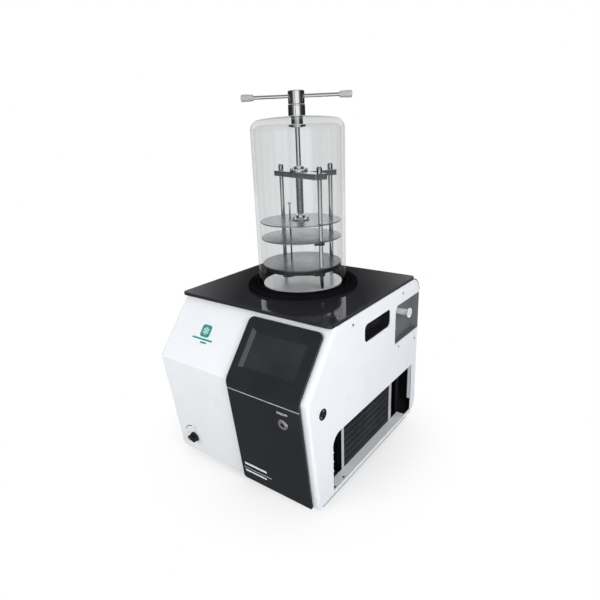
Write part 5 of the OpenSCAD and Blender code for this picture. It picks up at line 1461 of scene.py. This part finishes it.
# -------- drying chamber
@dataclass
class Chamber:
    """The clear chamber on the deck, its seal, the steel disc over the cold trap and the shelves."""

    radius: float = 130.0
    wall: float = 9.0
    low: float = 509.0
    crown: float = 6.0
    boss: float = 24.5
    roof: float = 15.0
    shoulder: float = 28.0
    inner_round: float = 18.0
    neck: float = 16.3
    disc_top: float = 514.0
    seal_r: float = 165.0
    seal_top: float = 519.0
    post_ring: float = 106.0
    post_angles: tuple[float, float, float] = (157.0, 337.0, 67.0)
    post_r: float = 6.0
    probe: Flat = (-43.0, 50.0)

    def post(self, i: int, z: float = 0.0) -> Point:
        """A point on the axis of one of the three posts."""
        a = math.radians(self.post_angles[i])
        return (self.post_ring * math.cos(a), AXIS_Y + self.post_ring * math.sin(a), z)

    def bell(self) -> None:
        """The clear bell: thick wall, round shoulder, slightly domed roof with the hole of the gland."""
        r, w, rise, bend = self.radius, self.wall, self.crown, self.shoulder
        top = BELL.hi[2] - rise
        reach = r - bend - self.boss
        dome = (reach ** 2 + rise * (rise + 2 * bend)) / (2 * rise)
        tilt = math.degrees(math.atan(reach / (dome - bend - rise)))
        outer = [(r - w + 0.8, self.low), (r - 0.8, self.low), (r, self.low + 0.8),
            *arc((r - bend, top - bend), bend, 0, 90 - tilt, 16),
                 *arc((self.boss, top + rise - dome), dome, 90 - tilt * 0.9, 90, 9), (self.neck, top + rise)]
        inner = [(self.neck, top - self.roof), *arc((r - w - self.inner_round, top - self.roof - self.inner_round),
                 self.inner_round, 90, 0, 14), (r - w, self.low + 0.8)]
        bell = turned("clear_bell_wall", outer + inner, AXIS, 160, closed=True)
        smooth(bell, 32)
        report(bell, ACRYLIC, "clear_acrylic", "clear_bell")
        dress(bell, ACRYLIC_INSIDE, lambda f: f.normal.z < -0.3 or f.normal.dot(f.center - Vector((0, AXIS_Y * MM,
            f.center.z))) < 0)

    def seal(self) -> None:
        """The wide rubber ring round the foot of the bell, with its rolled outer edge and lip."""
        r, top, z = self.seal_r, self.seal_top, DECK_Z
        inner = 118.0
        bell = self.radius
        profile = [(inner, z), (r - 0.8, z), (r, z + 0.8), (r, top - 8.5), *arc((r - 8.5, top - 8.5), 8.5, 0, 90, 12),
                   *arc((bell + 17, top - 3.5), 3.5, 90, 150, 6), (bell + 13, top - 5), (bell + 11, top - 5),
                   *arc((bell + 7.5, top - 2.5), 2.5, 0, 90, 6), *arc((bell + 3, top - 2.5), 2.5, 90, 170, 6),
                   (bell + 0.3, z + 3), (inner, z + 3)]
        ring = turned("chamber_seal_ring", profile, AXIS, 160, closed=True)
        smooth(ring, 30)
        report(ring, RUBBER, "black_rubber", "chamber_seal")

    def disc(self) -> None:
        """The steel disc over the trap with its round vapour holes."""
        box = Place.of("trap_disc")
        r = box.size[0] / 2
        low = box.lo[2]
        disc = turned("trap_disc_plate", [(0, low), (r - 0.4, low), (r, low + 0.4), (r, box.hi[2] - 0.6),
            (r - 0.6, box.hi[2]), (0, box.hi[2])],
                      AXIS, 144)
        holes = []
        for a in (-38, 0, 38):
            b = math.radians(127 + a)
            place = (70 * math.cos(b), AXIS_Y + 70 * math.sin(b), low - 3)
            holes.append(drill(20, 0, 12, place, 64))
        holes += [drill(4.5, 0, 12, self.post(i, low - 3), 32) for i in range(3)]
        cut(disc, *holes)
        smooth(disc, 32, weighted=True)
        report(disc, SATIN, "steel", "trap_disc")

    def plate(self, name: str, top: float, thick: float, radius: float, probe_hole: float) -> Object:
        """A round plate with rolled edge and holes for the posts.

        Args:
            name: Name of the piece.
            top: Height of its upper face.
            thick: Its thickness.
            radius: Its radius.
            probe_hole: Radius of the probe's hole, or 0 for none.

        Returns:
            The piece.
        """
        low = top - thick
        e = min(0.7, thick / 4)
        plate = turned(name, [(0, low), (radius - e, low), (radius - e * 0.3, low + e * 0.3), (radius, low + e),
            (radius, top - e), (radius - e * 0.3, top - e * 0.3), (radius - e, top), (0, top)], AXIS, 144)
        cutters = [drill(self.post_r + 0.6, 0, thick + 4,
                          self.post(i, low - 2), 40) for i in range(3)]
        if probe_hole:
            cutters.append(drill(probe_hole, 0, thick + 4, (*self.probe, low - 2), 32))
        cut(plate, *cutters)
        return smooth(plate, 32, weighted=True)

    def shelves(self) -> None:
        """The two shelves and the heater disc under the lower one."""
        upper, lower = Place.of("upper_shelf"), Place.of("lower_shelf")
        heater = Place.of("shelf_heater")
        shelf = self.plate("upper_shelf_plate", upper.hi[2], upper.size[2], upper.size[0] / 2, 3.1)
        report(shelf, SHEET_STEEL, "steel", "upper_shelf")
        shelf = self.plate("lower_shelf_plate", lower.hi[2], lower.size[2], lower.size[0] / 2, 0)
        # Painted shade: the lower shelf takes a darker copy of the upper shelf's steel.
        report(shelf, SHADED_SHELF_STEEL, "steel", "lower_shelf")
        pad = self.plate("shelf_heater_disc", heater.hi[2], heater.size[2], heater.size[0] / 2, 0)
        report(pad, FRAME_PAINT_AND_SHADE, "black_plastic", "shelf_heater")

    def posts(self) -> None:
        """Three turned posts with a threaded end above the bridge, under dome nuts."""
        box = Place.of("press_posts")
        seat, nut_low = self.disc_top, Place.of("dome_nuts").lo[2]
        shoulder = Place.of("bridge").lo[2]
        r, s = self.post_r, 4.5
        profile = [(0, box.lo[2]), (s, box.lo[2]), (s, seat), (r - 0.5, seat), (r, seat + 0.5), (r, shoulder - 0.5),
            (r - 0.5, shoulder), (s, shoulder), (s, box.hi[2]), (0, box.hi[2])]
        post = turned("press_post_1", profile, steps=40)
        smooth(post, 34)
        nut_high = Place.of("dome_nuts").hi[2]
        c = 7.5
        nut = turned("dome_nut_1", [(s, 0), (c - 0.5, 0), (c, 0.5), *arc((0, nut_high - nut_low - c), c, 0, 90, 12)],
            steps=48)
        smooth(nut, 40)
        for i in range(1, 3):
            report(twin(post, f"press_post_{i + 1}", move(*self.post(i))), POLISHED, "steel")
            report(twin(nut, f"dome_nut_{i + 1}", move(*self.post(i, nut_low))), CHROME, "steel")
        report(settle(post, move(*self.post(0))), POLISHED, "steel", "press_posts")
        report(settle(nut, move(*self.post(0, nut_low))), CHROME, "steel", "dome_nuts")

    def clamps(self) -> None:
        """Round clamps on the posts that stop the shelves, each with a knurled thumb screw."""
        box = Place.of("shelf_clamps")
        h, r = 8.0, 10.5
        clamp = turned("shelf_clamp_1", [(6.05, 0), (r - 0.6, 0), (r, 0.6), (r, h - 0.6), (r - 0.6, h), (6.05, h)],
            steps=56, closed=True)
        smooth(clamp, 34)
        knob = turned("thumb_screw_1", [(0, 6), (2, 6), (2, 10.8), (2.6, 11), (3.6, 11), (4, 11.4), (4, 19.4),
            (3.6, 20), (0, 20)], steps=36)
        pick(knob, lambda f: abs(f.normal.z) < 0.2 and 12 * MM < f.center.z < 19 * MM and f.center.xy.length > 3.8 * MM
             and int(round(math.degrees(math.atan2(f.center.y, f.center.x)) / 10 - 0.5)) % 2 == 0)
        bpy.ops.mesh.inset(thickness=0.08 * MM, depth=-0.3 * MM, use_individual=True)
        leave()
        smooth(knob, 24)
        levels = (box.hi[2] - h, box.lo[2])
        number = 0
        for z in levels:
            for i, angle in enumerate(self.post_angles):
                number += 1
                at = move(*self.post(i, z)) @ rotate(angle)
                side = at @ move(0, 0, h / 2) @ rotate(90, "X")
                last = number == 6
                ring = settle(clamp, at) if last else twin(clamp, f"shelf_clamp_{number + 1}", at)
                grip = settle(knob, side) if last else twin(knob, f"thumb_screw_{number + 1}", side)
                report(ring, BLACK_PLASTIC, "black_plastic", *(["shelf_clamps"] if last else []))
                report(grip, BLACK_PLASTIC, "black_plastic", *(["thumb_screws"] if last else []))

    def temperature_probe(self) -> None:
        """The thin product probe with its round cap."""
        box = Place.of("product_probe")
        x, y = self.probe
        profile = [(0, box.lo[2]), (2.1, box.lo[2]), (2.5, box.lo[2] + 0.6), (2.5, box.hi[2] - 6),
            (4.1, box.hi[2] - 6), (4.5, box.hi[2] - 5.5),
                   (4.5, box.hi[2] - 1), (3.9, box.hi[2] - 0.3), (3.0, box.hi[2]), (0, box.hi[2])]
        probe = turned("product_probe_rod", profile, (x, y, 0), 32)
        smooth(probe, 34)
        report(probe, CHROME, "steel", "product_probe")

    def build(self) -> None:
        """Builds the chamber and its shelves."""
        self.bell()
        self.seal()
        self.disc()
        self.shelves()
        self.posts()
        self.clamps()
        self.temperature_probe()


@dataclass
class Press:
    """The stoppering press: bridge, nut, threaded screw, swivel, press plate, gland and handle."""

    chamber: Chamber
    arm_w: float = 38.0
    reach: float = 116.0
    nut_r: float = 26.0
    screw_r: float = 11.0
    thread: Flat = (717.0, 848.0)
    lead: float = 5.0
    angle: float = 33.0
    handle: float = 300.0
    grip: Flat = (9.5, 34.0)
    rod_r: float = 5.0

    def bridge(self) -> None:
        """A three-armed bar over the posts, with eased edges, a hole for the nut and holes for the posts."""
        box = Place.of("bridge")
        w, e = self.arm_w / 2, self.reach
        post_angle = self.chamber.post_angles[0]
        outline = [(-e, -w), (e, -w), (e, w), (-e, w)]
        lift = move(0, AXIS_Y, box.lo[2])
        spin = lift @ rotate(post_angle)
        bar = tile("bridge_bar", outline, box.size[2])
        arm = tile("arm", [(0, -w), (e, -w), (e, w), (0, w)], box.size[2], rotate(-90))
        weld(bar, arm)
        settle(bar, spin)
        low = box.lo[2] - 2
        holes = [drill(15, 0, 22, (0, AXIS_Y, low), 64)]
        holes += [drill(4.5, 0, 22, self.chamber.post(i, low), 32) for i in range(3)]
        cut(bar, *holes)
        ease(bar, 1.2, 3, 60)
        smooth(bar, 34, weighted=True)
        report(bar, BRUSHED, "steel", "bridge")

    def bolt(self, name: str, radius: float) -> Object:
        """A round-headed bolt with a hexagon socket, standing on the floor."""
        r = radius
        bolt = turned(name, [(0, -1), (r - 0.6, -1), (r - 0.6, 0), (r, 0.3), (r, 3.2), (r - 0.6, 4), (0, 4)], steps=32)
        hexagon = tile("hexagon", arc((0, 0), r * 0.56, 0, 300, 5), 4, move(0, 0, 1.8))
        cut(bolt, hexagon)
        return smooth(bolt, 34)

    def bolts(self, stem: str, radius: float, ring: float, z: float, body: str) -> None:
        """Sets four bolts on a ring.

        Args:
            stem: Start of their names.
            radius: Radius of a head.
            ring: Radius of the ring.
            z: Height that they stand at.
            body: Body that they move with.
        """
        first = self.bolt(f"{stem}_1", radius)
        for i in (3, 2, 1, 0):
            a = math.radians(self.angle + 90 * i)
            matrix = move(ring * math.cos(a), AXIS_Y + ring * math.sin(a), z)
            piece = twin(first, f"{stem}_{i + 1}", matrix) if i else settle(first, matrix)
            report(piece, CHROME, "steel", body=body)

    def nut(self) -> None:
        """The flanged nut in the bridge."""
        box = Place.of("bridge")
        z0, top = box.lo[2], box.hi[2]
        high = Place.of("bridge_nut").hi[2]
        r, s, b = self.nut_r, 15.0, self.screw_r + 0.05
        profile = [(b, z0), (s, z0), (s, top), (r - 0.4, top), (r, top + 0.4), (r, top + 5.4), (r - 0.6, top + 6),
            (s + 1.2, top + 6), (s, top + 7), (s, high - 1.2), (s - 1.2, high), (b + 1, high), (b, high - 1)]
        nut = turned("bridge_nut_flange", profile, AXIS, 96, closed=True)
        smooth(nut, 30)
        report(nut, POLISHED, "steel", "bridge_nut")
        self.bolts("bridge_nut_bolt", 4.0, (r + s) / 2, top + 6, "cabinet")

    def screw(self) -> None:
        """The press screw: a real thread on the lower length, a plain shaft above, and a journal in the swivel."""
        low, high = self.thread
        r, core = self.screw_r, self.screw_r - 1.8
        box = Place.of("press_screw")
        p = self.lead
        tooth = [(core, 0.0), (core, p * 0.18), (r, p * 0.46), (r, p * 0.72), (core, p)]
        line = trace("press_screw_thread", [(x, 0, z) for x, z in tooth])
        turns = int((high - low) / p)
        steps = 36
        modify(line, "SCREW", screw_offset=p * MM, iterations=turns, steps=steps, render_steps=steps, axis="Z",
               use_merge_vertices=True, merge_threshold=1e-6)
        outward(line)
        settle(line, move(0, AXIS_Y, low))
        length = turns * p
        smooth(line, 40)
        shaft = 6.5
        body = turned("press_screw_body", [(0, box.lo[2]), (7.5, box.lo[2]), (7.5, low - 0.4), (core - 0.9, low - 0.4),
            (core - 0.2, low + 0.6),
                      (core - 0.05, low + 3), (core - 0.05, low + length - 1), (core - 1.0, low + length + 1.6),
                      (shaft, low + length + 2.4), (shaft, box.hi[2]), (0, box.hi[2])], AXIS, 64)
        smooth(body, 34)
        report(line, THREAD, "steel", body="screw")
        report(body, POLISHED, "steel", "press_screw", body="screw")

    def swivel(self) -> None:
        """The flanged swivel that ties the screw to the press plate."""
        box = Place.of("swivel_hub")
        z, r, h = box.lo[2], self.nut_r, 13.5
        profile = [(7.55, z + 2.5), (0.5, z + 2.5), (0.5, z), (r - 0.4, z), (r, z + 0.4), (r, z + 3.4),
            (r - 0.6, z + 4), (h + 2.4, z + 4),
                   (h + 0.6, z + 4.8), (h, z + 6.4), (h, z + 13.8), (h - 1.2, z + 15), (7.55, z + 15)]
        hub = turned("swivel_hub_flange", profile, AXIS, 96, closed=True)
        smooth(hub, 30)
        report(hub, POLISHED, "steel", "swivel_hub", body="press")
        self.bolts("swivel_bolt", 3.5, (r + h + 2) / 2, z + 4, "press")
        plate = Place.of("press_plate")
        disc = self.chamber.plate("press_plate_disc", plate.hi[2], plate.size[2], plate.size[0] / 2, 5.1)
        report(disc, SHEET_STEEL, "steel", "press_plate", body="press")

    def gland(self) -> None:
        """The gland through the bell's roof, its nut inside and its gaskets."""
        box, inner = Place.of("gland_body"), Place.of("gland_nut")
        r, n, b = box.size[0] / 2, 16.0, 6.55
        z0, seat, z1 = box.lo[2], BELL.hi[2] + 1, box.hi[2]
        profile = [(b, z0), (n, z0), (n, seat), (r - 0.5, seat), (r, seat + 0.5), (r, z1 - 5.2), (r - 0.7, z1 - 4.6),
            (r - 0.7, z1 - 4.0), (r, z1 - 3.4), (r, z1 - 1.6), (r - 1.6, z1), (b + 2.2, z1), (b, z1 - 1)]
        gland = turned("gland_body_turned", profile, AXIS, 128, closed=True)
        smooth(gland, 28, weighted=True)
        report(gland, POLISHED, "steel", "gland_body")
        lo, hi = inner.lo[2], inner.hi[2]
        nut = turned("gland_nut_ring", [(n, lo), (r - 0.6, lo), (r, lo + 0.6), (r, hi - 0.6), (r - 0.6, hi), (n, hi)],
            AXIS, 96, closed=True)
        smooth(nut, 30)
        report(nut, POLISHED, "steel", "gland_nut")
        seals = Place.of("gland_seals")
        rings = [turned("gland_gaskets", [(n, z), (r - 0.5, z), (r - 0.5, z + 1), (n, z + 1)], AXIS, 96, closed=True)
                 for z in (seals.lo[2], seals.hi[2] - 1)]
        report(joined("gland_gaskets", rings), TEFLON, "black_rubber", "gland_seals")

    def hub(self) -> None:
        """The turned hub on top of the shaft, with the cross hole of the rod."""
        box = Place.of("handle_hub")
        r, low, high = 22.5, box.hi[2] - 34, box.hi[2]
        rod_z = Place.of("handle_rod").mid[2]
        shaft_top = Place.of("press_screw").hi[2]
        profile = [(0, shaft_top), (6.5, shaft_top), (6.5, low), (r - 0.6, low), (r, low + 0.6), (r, high - 2.2),
            (r - 0.6, high - 0.9), (r - 2.2, high), (5, high), (3.6, high - 0.6), (0, high - 0.6)]
        hub = turned("handle_hub_turned", profile, AXIS, 128)
        hole = drill(self.rod_r, -30, 30, steps=40)
        settle(hole, self.across(rod_z))
        cut(hub, hole)
        smooth(hub, 28, weighted=True)
        report(hub, POLISHED, "steel", "handle_hub", body="screw")

    def across(self, z: float) -> Matrix:
        """The matrix that lays a piece modelled along +Z along the handle, its origin on the chamber's axis."""
        return move(0, AXIS_Y, z) @ rotate(self.angle) @ rotate(90, "Y")

    def bar(self) -> None:
        """The rod and its two grips."""
        z = Place.of("handle_rod").mid[2]
        r, length = self.grip
        end = self.handle / 2
        inside = end - length + 22
        rod = turned("handle_rod_bar", [(0, -inside), (self.rod_r - 0.4, -inside), (self.rod_r, -inside + 0.4),
            (self.rod_r, inside - 0.4), (self.rod_r - 0.4, inside), (0, inside)], steps=48)
        smooth(rod, 34)
        report(settle(rod, self.across(z)), POLISHED, "steel", "handle_rod", body="screw")
        profile = [(self.rod_r, 0), (r - 2.6, 0), (r - 1.8, 0.4), (r - 1.2, 1.4), (r - 0.4, length * 0.45),
            (r, length - 5), (r - 0.25, length - 2.6), (r - 1.2, length - 0.9), (r - 3.0, length), (0, length), (0, 22),
                   (self.rod_r, 22)]
        grip = turned("handle_grip_1", profile, steps=64)
        smooth(grip, 34)
        shift = move(0, 0, end - length)
        other = twin(grip, "handle_grip_2", self.across(z) @ rotate(180, "X") @ shift)
        report(settle(grip, self.across(z) @ shift), IVORY, "ivory", "handle_grips", body="screw")
        report(other, IVORY, "ivory", body="screw")

    def build(self) -> None:
        """Builds the press and its handle."""
        self.bridge()
        self.nut()
        self.screw()
        self.swivel()
        self.gland()
        self.hub()
        self.bar()


# -------- what stays as it was packed
CARRIED: dict[str, Finish | ClearWall] = {
    "base_tray": ZINC, "chassis_frame": FRAME_PAINT_AND_SHADE, "drain_valve": BRASS, "drain_pipe": HOSE,
    "drain_spout": BLACK_PLASTIC,
    "mains_inlet": BLACK_PLASTIC, "control_box": ZINC, "condenser_tubes": DARK_COPPER, "fan_shroud": ZINC,
    "fan_motor": SHELL_BLACK,
    "fan_blades": POCKET_GREY, "compressor": SHELL_BLACK, "compressor_mounts": RUBBER, "refrigerant_lines": COPPER,
    "filter_drier": COPPER, "trap_vessel": BRUSHED, "evaporator_coil": COPPER, "trap_insulation": FOAM,
    "vacuum_pipe": POLISHED,
}


def finish_carried() -> None:
    """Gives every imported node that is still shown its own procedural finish."""
    for name, finish in CARRIED.items():
        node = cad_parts[name]
        node.data.materials.clear()
        node.data.materials.append(bpy.data.materials.get(finish.name) or finish.build())
        log.info("packed node %s takes %s", name, finish.name)


# -------- stage
@dataclass
class Studio:
    """Pale floor, white surround, soft lamps and the camera.

    Attributes:
        eye: Where the camera stands, in millimetres.
        yaw: How far it looks round from the rear of the part, in degrees.
        pitch: How far it looks up, in degrees.
        roll: How far it leans, in degrees.
        lens: Its focal length on a 36 mm wide frame.
        screen_side: Direction that the screen mirrors.
        front_side: Direction towards the light front of the room.
        right_side: Direction towards its right side.
        horizon: Grey of the low surround from the back to the front.
        stripe: Grey of the low surround from the left to the right.
        upper: Grey of the high surround from the back to the front.
        screen_view: Grey of the high surround towards what the screen mirrors.
        rise: Share of the high surround from below to above.
    """

    eye: Point = (836.99, -1081.70, 939.53)
    yaw: float = 37.07
    pitch: float = -19.22
    roll: float = -2.26
    lens: float = 28.89
    screen_side: Point = (-0.564, 0.752, 0.342)
    front_side: Point = (0.60, -0.80, 0.0)
    right_side: Point = (0.80, 0.60, 0.0)
    horizon: tuple[Flat, ...] = ((-1.0, 0.85), (-0.93, 0.5), (-0.82, 0.03), (0.45, 0.04), (0.60, 0.25), (0.76, 0.32),
        (0.85, 1.45))
    stripe: tuple[Flat, ...] = ((-1.0, 1.0), (-0.42, 1.0), (-0.38, 0.05), (-0.30, 0.05), (-0.26, 1.0))
    upper: tuple[Flat, ...] = ((-1.0, 1.35), (-0.6, 1.2), (-0.15, 0.3), (0.4, 0.3))
    screen_view: tuple[Flat, ...] = ((-1.0, 1.0), (0.955, 1.0), (0.99, 0.05))
    rise: tuple[Flat, ...] = ((-1.0, 0.0), (0.15, 0.0), (0.21, 1.0))

    def white_to_camera(self, tree: Wiring, lit: Socket, shadow: Optional[Socket]) -> None:
        """Shows plain white to the camera and through clear walls, and keeps the lit surface for all other paths.

        Args:
            tree: The material's wiring.
            lit: The shader that other paths meet.
            shadow: A share from 0 to 1 that keeps the shadow, or None.
        """
        path = tree.add("ShaderNodeLightPath")
        direct = tree.maths("LESS_THAN", path.outputs["Glossy Depth"], 0.5)
        through = tree.maths("MULTIPLY", direct, path.outputs["Is Transmission Ray"])
        seen = tree.maths("MAXIMUM", path.outputs["Is Camera Ray"], through)
        share = seen if shadow is None else tree.maths("MULTIPLY", seen, shadow)
        tree.feed(tree.output, {"Surface": tree.choose(share, lit, tree.glow())})

    def floor(self) -> None:
        """A wide floor that fades into the white surround away from the cabinet and keeps its shadow."""
        calm()
        bpy.ops.mesh.primitive_plane_add(size=14, location=(0, 0, -0.0005))
        ground = bpy.context.active_object
        ground.name = "studio_floor"
        material = bpy.data.materials.new("studio_floor_paint")
        material.use_nodes = True
        tree = Wiring(material.node_tree)
        grain = tree.noise(tree.place(), 30, 2)
        pale = tree.blend(grain, (0.93, 0.93, 0.935), (0.95, 0.95, 0.952))
        dull = tree.blend(grain, (0.60, 0.60, 0.605), (0.62, 0.62, 0.622))
        bounce = tree.add("ShaderNodeLightPath").outputs["Is Diffuse Ray"]
        tree.feed(tree.shader, {"Base Color": tree.blend(bounce, pale, dull), "Roughness": 0.9})
        distance = tree.vectors("LENGTH", tree.place(stretch=(1, 1, 0)))
        away = tree.span(distance, 0.26, 0.5, 0.55, 1.0)
        self.white_to_camera(tree, self.mirrored_floor(tree), away)
        ground.data.materials.append(material)

    def mirrored_floor(self, tree: Wiring) -> Socket:
        """What polished surfaces see of the floor: white towards the front, dark at the sides.

        Args:
            tree: The floor's wiring.

        Returns:
            The shader of the floor.
        """
        outwards = tree.place(stretch=(1, 1, 0))
        front = tree.vectors("DOT_PRODUCT", tree.vectors("NORMALIZE", outwards), self.front_side)
        lit = tree.span(front, 0.5, 0.82, 0.03, 1.0)
        behind = tree.span(front, -0.85, -0.55, 0.35, 0.0)
        near = tree.span(tree.vectors("LENGTH", outwards), 0.5, 0.95, 0.0, 1.0)
        share = tree.maths("MULTIPLY", tree.maths("ADD", lit, behind), near)
        glow = tree.glow(tree.blend(share, (0.22, 0.222, 0.226), (1.0, 1.0, 1.0)))
        mirrored = tree.maths("GREATER_THAN", tree.add("ShaderNodeLightPath").outputs["Glossy Depth"], 0.5)
        return tree.choose(mirrored, tree.shader.outputs[0], glow)

    def world(self) -> None:
        """A soft surround that the camera sees as white."""
        world = bpy.data.worlds.new("studio_world")
        bpy.context.scene.world = world
        world.use_nodes = True
        tree = Wiring(world.node_tree)
        around = tree.add("ShaderNodeTexCoord").outputs["Object"]
        front, right, screen, up = (
            tree.vectors("DOT_PRODUCT", around, way)
            for way in (self.front_side, self.right_side, self.screen_side, (0.0, 0.0, 1.0)))
        low = tree.vectors("MULTIPLY", tree.grade(front, self.horizon), tree.grade(right, self.stripe))
        high = tree.vectors("MULTIPLY", tree.grade(front, self.upper), tree.grade(screen, self.screen_view))
        colour = tree.blend(tree.grade(up, self.rise), low, high)
        tree.feed(tree.shader, {"Color": colour, "Strength": 0.75})
        plain = tree.add("ShaderNodeBackground", {"Color": (1, 1, 1, 1), "Strength": 1.0}).outputs[0]
        path = tree.add("ShaderNodeLightPath")
        bounces = tree.maths("ADD", path.outputs["Glossy Depth"], path.outputs["Diffuse Depth"])
        straight = tree.maths("LESS_THAN", bounces, 0.5)
        tree.feed(tree.output, {"Surface": tree.choose(straight, tree.shader.outputs[0], plain)})

    def lamp(self, name: str, at: Point, target: Point, size: Flat, power: float, colour: Colour,
             inside: bool = True, outside: bool = True) -> None:
        """A rectangular soft lamp aimed at a point.

        Args:
            name: Its name.
            at: Where it hangs, in metres.
            target: What it is aimed at, in metres.
            size: Its width and height in metres.
            power: Its power in watts.
            colour: Its colour.
            inside: Whether it lights what stands behind a clear wall.
            outside: Whether it lights what stands free.
        """
        light = bpy.data.lights.new(name, "AREA")
        light.shape = "RECTANGLE"
        light.size, light.size_y, light.energy, light.color = size[0], size[1], power, colour
        lamp = bpy.data.objects.new(name, light)
        lamp.location = at
        lamp.rotation_euler = (Vector(target) - Vector(at)).to_track_quat("-Z", "Y").to_euler()
        lamp.visible_glossy, lamp.visible_transmission, lamp.visible_diffuse = False, inside, outside
        bpy.context.scene.collection.objects.link(lamp)

    def camera(self) -> None:
        """Sets the camera by its place, its yaw, pitch and roll."""
        yaw, pitch, roll = (math.radians(v) for v in (self.yaw, self.pitch, self.roll))
        ahead = Vector((-math.sin(yaw) * math.cos(pitch), math.cos(yaw) * math.cos(pitch), math.sin(pitch)))
        right = Vector((math.cos(yaw), math.sin(yaw), 0))
        up = right.cross(ahead)
        side = right * math.cos(roll) + up * math.sin(roll)
        top = up * math.cos(roll) - right * math.sin(roll)
        data = bpy.data.cameras.new("camera")
        data.sensor_width, data.lens = 36.0, self.lens
        data.clip_start, data.clip_end = 0.05, 50
        camera = bpy.data.objects.new("camera", data)
        turn = Matrix((side, top, -ahead)).transposed().to_4x4()
        camera.matrix_world = move(*self.eye) @ turn
        bpy.context.scene.collection.objects.link(camera)
        bpy.context.scene.camera = camera

    def build(self) -> None:
        """Builds the studio."""
        self.floor()
        self.world()
        middle = (0.0, 0.0, 0.45)
        self.lamp("key_panel", (-1.1, -2.6, 1.2), middle, (1.8, 1.5), 46, (1.0, 0.995, 0.985), inside=False)
        self.lamp("side_panel", (2.6, -0.9, 1.4), middle, (1.6, 1.6), 64, (0.97, 0.985, 1.0), inside=False)
        self.lamp("top_panel", (0.2, 0.4, 3.2), middle, (2.2, 2.0), 6, (1.0, 1.0, 1.0))
        self.lamp("back_panel", (-1.6, 2.4, 1.9), middle, (1.6, 1.6), 10, (1.0, 1.0, 1.0))
        self.lamp("shelf_panel", (0.1, 0.1, 3.0), middle, (2.4, 2.4), 22, (1.0, 1.0, 1.0), outside=False)
        self.camera()
        view = bpy.context.scene.view_settings
        view.view_transform, view.look, view.exposure, view.gamma = "Standard", "None", 0.0, 1.0


def main() -> None:
    """Builds the freeze dryer, dresses it and sets the studio."""
    logging.basicConfig(level=logging.INFO, format="%(levelname)s %(message)s")
    cabinet, chamber = Cabinet(), Chamber()
    for assembly in (cabinet, PumpCorner(cabinet), ControlPanel(), Drain(), Condenser(), chamber, Press(chamber)):
        log.info("building %s", type(assembly).__name__)
        assembly.build()
    finish_carried()
    Studio().build()


if __name__ == "__main__":
    main()
